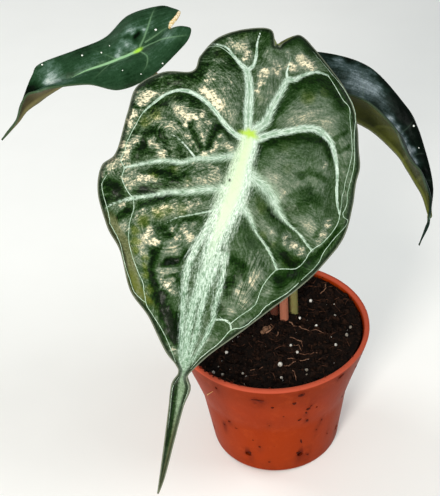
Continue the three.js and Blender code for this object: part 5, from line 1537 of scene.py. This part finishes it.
# strands that show: x and y along each, then the thickness factor
soilStrands = [
    ([(8.6, 4.3), (11, 3.2), (12.8, 1.2), (13.6, -0.3)], 1.5),
    ([(13.6, -0.6), (18, -2.5), (21, -3.7), (24.6, -4.5)], 0.8),
    ([(11.2, -18), (15, -18.2), (19.2, -19.5)], 1.0), ([(3.7, -25.1), (6.5, -24.6), (8.9, -22.4)], 1.2),
    ([(7.6, -7.5), (10.5, -9), (12.4, -11), (13, -13.5)], 0.9), ([(6.5, -28.6), (7.6, -31), (7.7, -35.1)], 1.0),
    ([(1.3, -5.4), (2.6, -4.4), (2.9, -2.8)], 1.4), ([(25, 22), (27.5, 25), (28.4, 28)], 1.2),
    ([(5.5, -21.6), (10, -20.6), (14.8, -21.4)], 0.8), ([(-12, -27), (-9, -25.5), (-6.5, -25.2)], 0.9),
    ([(-3.4, -2.2), (-0.4, -1), (0.6, 1.6), (-0.6, 3)], 1.7), ([(9, -11), (11.6, -13.6), (12.2, -17)], 0.7),
]


def soilHeight(x, y):
    lumps = (0.7 * np.sin(0.31 * x + 1.3) * np.cos(0.27 * y - 0.4) + 0.5 * np.sin(0.62 * x - 0.51 * y)
             + 0.35 * np.cos(0.83 * y + 0.4 * x + 2))
    rim = np.hypot(x, y)
    heap = smoothStep(-0.45, 0.35, np.cos(np.arctan2(y, x) - 0.55)) * smoothStep(31, 41, rim)
    return soil["level"] + 2.3 * heap + lumps * (1 - smoothStep(34, 42, rim))


def scatterTree(material, name):
    # crumbs thrown on a bed
    tree, bench, given = newTree(name, {
        "Density": ("NodeSocketFloat", 1000.0), "Smallest": ("NodeSocketFloat", 0.2 * mm),
        "Largest": ("NodeSocketFloat", 0.8 * mm), "Seed": ("NodeSocketInt", 1),
        "Fineness": ("NodeSocketInt", 1), "Roughness": ("NodeSocketFloat", 0.3 * mm)})
    points = bench.add("GeometryNodeDistributePointsOnFaces", {
        "Mesh": given["Geometry"], "Density": given["Density"], "Seed": given["Seed"]})
    ball = bench.add("GeometryNodeMeshIcoSphere", {"Radius": 1.0, "Subdivisions": given["Fineness"]})
    size = bench.add("FunctionNodeRandomValue", {
        "Min": given["Smallest"], "Max": given["Largest"], "Seed": 3})
    stretch = anyVector(bench, (0.6, 0.6, 0.45), (1.5, 1.2, 1.0), 5)
    turn = anyVector(bench, (-3.1, -3.1, -3.1), (3.1, 3.1, 3.1), 7)
    scale = bench.scaled(stretch, size.outputs[1])
    lumps = copiesOn(bench, points.outputs[0], ball.outputs[0], turn, scale)
    rough = roughened(bench, lumps, 900.0, 1.0, given["Roughness"])
    shaded = bench.add("GeometryNodeSetShadeSmooth", {"Geometry": rough, "Shade Smooth": True})
    closeTree(bench, shaded.outputs[0], material)
    return tree


def fibreTree(material):
    # short bent fibres thrown on the bed
    tree, bench, given = newTree("soilFibres", {
        "Density": ("NodeSocketFloat", 1000.0), "Shortest": ("NodeSocketFloat", 0.5),
        "Longest": ("NodeSocketFloat", 1.6), "Thickness": ("NodeSocketFloat", 0.16 * mm), "Seed": ("NodeSocketInt", 1)})
    points = bench.add("GeometryNodeDistributePointsOnFaces", {
        "Mesh": given["Geometry"], "Density": given["Density"], "Seed": given["Seed"]})
    strand = bench.add("GeometryNodeCurveQuadraticBezier", {
        "Resolution": 9, "Start": (-3 * mm, 0, 0.2 * mm), "Middle": (0, 2.2 * mm, 1.6 * mm), "End": (3 * mm, 0, 0)})
    turn = anyVector(bench, (-0.35, -0.35, -3.1), (0.35, 0.35, 3.1), 11)
    size = bench.add("FunctionNodeRandomValue", {"Min": given["Shortest"], "Max": given["Longest"], "Seed": 13})
    bend = anyVector(bench, (1, -1, 0.1), (1, 1, 0.7), 17)
    scale = bench.scaled(bend, size.outputs[1])
    strands = copiesOn(bench, points.outputs[0], strand.outputs[0], turn, scale)
    wiggle = roughened(bench, strands, 260.0, 2.0, 1.6 * mm)
    ring = bench.add("GeometryNodeCurvePrimitiveCircle", {"Resolution": 5, "Radius": given["Thickness"]})
    tube = bench.add("GeometryNodeCurveToMesh", {
        "Curve": wiggle, "Profile Curve": ring.outputs[0], "Fill Caps": True})
    closeTree(bench, tube.outputs[0], material)
    return tree


def makeSoil():
    rings, sectors, top = soil["rings"], soil["sectors"], soil["topRadius"]
    radii = np.linspace(0, top, rings + 1)[1:]
    angles = np.arange(sectors) * 2 * math.pi / sectors
    x = radii[:, None] * np.cos(angles)
    y = radii[:, None] * np.sin(angles)
    flat = np.stack([x, y], axis=-1)
    fine = 0.75 * roughField(flat, 4.5, 4, 1.0) + 0.3 * roughField(flat, 1.6, 3, 5.0)
    z = soilHeight(x, y) + fine * smoothStep(top, top - 3, radii)[:, None] - 0.4
    points = [(0, 0, float(soilHeight(0.0, 0.0)))]
    points += np.stack([x, y, z], axis=-1).reshape(-1, 3).tolist()
    for radius, height in soil["side"]:
        points += [polar(radius, a, height) for a in angles]
    points.append((0, 0, soil["side"][-1][1]))
    total = rings + len(soil["side"])
    faces = []
    for i in range(sectors):
        j = (i + 1) % sectors
        faces.append([0, 1 + i, 1 + j])
        faces.append([1 + (total - 1) * sectors + i, len(points) - 1, 1 + (total - 1) * sectors + j])
        for ring in range(total - 1):
            a = 1 + ring * sectors
            b = a + sectors
            faces.append([a + i, b + i, b + j, a + j])
    earth = dirtMaterial("darkPeat", srgb(6, 3, 2), srgb(24, 14, 9), 0.45)
    bed = settle(plainMesh("soilBed", points, faces, [earth]), "soil", "soil")

    topPoints = points[:1 + rings * sectors]
    topFaces = [face for face in faces if max(face) < len(topPoints)]

    def growOnTop(name, tree, inputs):
        settle(grow(name, plainMesh(name + "Bed", topPoints, topFaces, []), tree, inputs), "soil")

    def scatter(name, material):
        density, smallest, largest, seed, fineness, rough = soil[name]
        growOnTop(name, scatterTree(material, name + "Tree"), {
            "Density": density, "Smallest": smallest * mm, "Largest": largest * mm, "Seed": seed,
            "Fineness": fineness, "Roughness": rough * mm})

    crumbs = dirtMaterial("peatCrumb", srgb(7, 4, 3), srgb(40, 24, 16), 0.3)
    scatter("soilCrumbs", crumbs)
    scatter("soilClods", crumbs)
    fibres = dirtMaterial("rootFibre", srgb(34, 20, 14), srgb(84, 54, 40), 0.3)
    growOnTop("soilFibres", fibreTree(fibres), {
        "Density": soil["fibreDensity"], "Shortest": 0.4, "Longest": 1.25, "Thickness": 0.15 * mm, "Seed": 21})
    white = dirtMaterial("perliteGrain", srgb(112, 104, 94), srgb(234, 232, 228), 0.2)
    scatter("perliteDust", white)
    places = []
    for bx, by, size in perliteBeads:
        radius = 0.86 * size
        height = float(soilHeight(bx, by)) + 0.35 * radius
        places.append(((bx, by, height), (radius, radius * 0.92, radius * 0.88), (bx, by, bx + by)))
    settle(grow("perliteBeads", pointsObject("beadPoints", places), lumpTree(white),
                {"Fineness": 4, "Grain": 1100.0, "Roughness": 0.35 * mm}), "soil")
    bark = dirtMaterial("barkChip", srgb(80, 54, 40), srgb(138, 104, 82), 0.8)
    chips = [((cx, cy, soilHeight(cx, cy) + lift), size, turn) for (cx, cy, lift), size, turn in barkPieces]
    settle(grow("barkChips", pointsObject("chipPoints", chips), lumpTree(bark),
                {"Fineness": 4, "Grain": 700.0, "Roughness": 0.8 * mm}), "soil")
    lines = []
    for path, thickness in soilStrands:
        line, _ = smoothLine([(*p, 1.0) for p in path], 0.6)
        heights = soilHeight(line[:, 0], line[:, 1]) + 1.0
        lines.append([(px, py, float(pz), thickness) for (px, py, _), pz in zip(line, heights)])
    strand = dirtMaterial("paleRoot", srgb(74, 48, 36), srgb(140, 104, 84), 0.25)
    tree = snappedTubeTree(strand)
    settle(grow("soilStrands", linesObject("strandLines", lines), tree, {
        "Surface": bed, "Tube radius": 0.2 * mm, "Step": 0.5 * mm, "Sink": (0, 0, 0.25 * mm)}), "soil")


makeSoil()
print("soil ready")


# drops on the side leaves, an opaque near-white that is a painted glint: shares along and across, radius
dewSpecks = {
    "left": [(0.221, -0.26, 0.5), (0.487, -0.59, 0.4), (0.579, -0.9, 0.4), (0.296, 0.93, 0.35), (0.392, 0.46, 0.3),
             (0.438, -0.41, 0.35), (0.35, 0.8, 0.25), (0.41, -0.5, 0.25)],
    "right": [(0.425, 0.79, 0.55), (0.487, 0.63, 0.35)],
}


def makeDew():
    material, bench = newMaterial("dewPaintedGlint")
    tone = bench.noise(bench.place(), 2.0, 2)
    # painted glint: each drop is an opaque near-white lump
    finishMaterial(bench, bench.mixColour(tone, srgb(214, 224, 214), srgb(248, 250, 246)), 0.12)
    places = []
    for side, specks in dewSpecks.items():
        for s, t, radius in specks:
            blade = lambda a, b: sidePoint(sideLeaves[side], a, b)
            outward = outwardAt(blade, s, t, 0.03)
            place = pointAt(blade, s, t) + outward * 0.6
            turn = Vector(outward).to_track_quat("Z", "Y").to_euler()
            places.append((tuple(place), (radius, radius * 0.9, radius * 0.6), tuple(turn)))
    settle(grow("dewSpecks", pointsObject("dewPoints", places), lumpTree(material),
                {"Fineness": 3, "Grain": 900.0, "Roughness": 0.12 * mm}), "leaf_side")


makeDew()
print("dew ready")
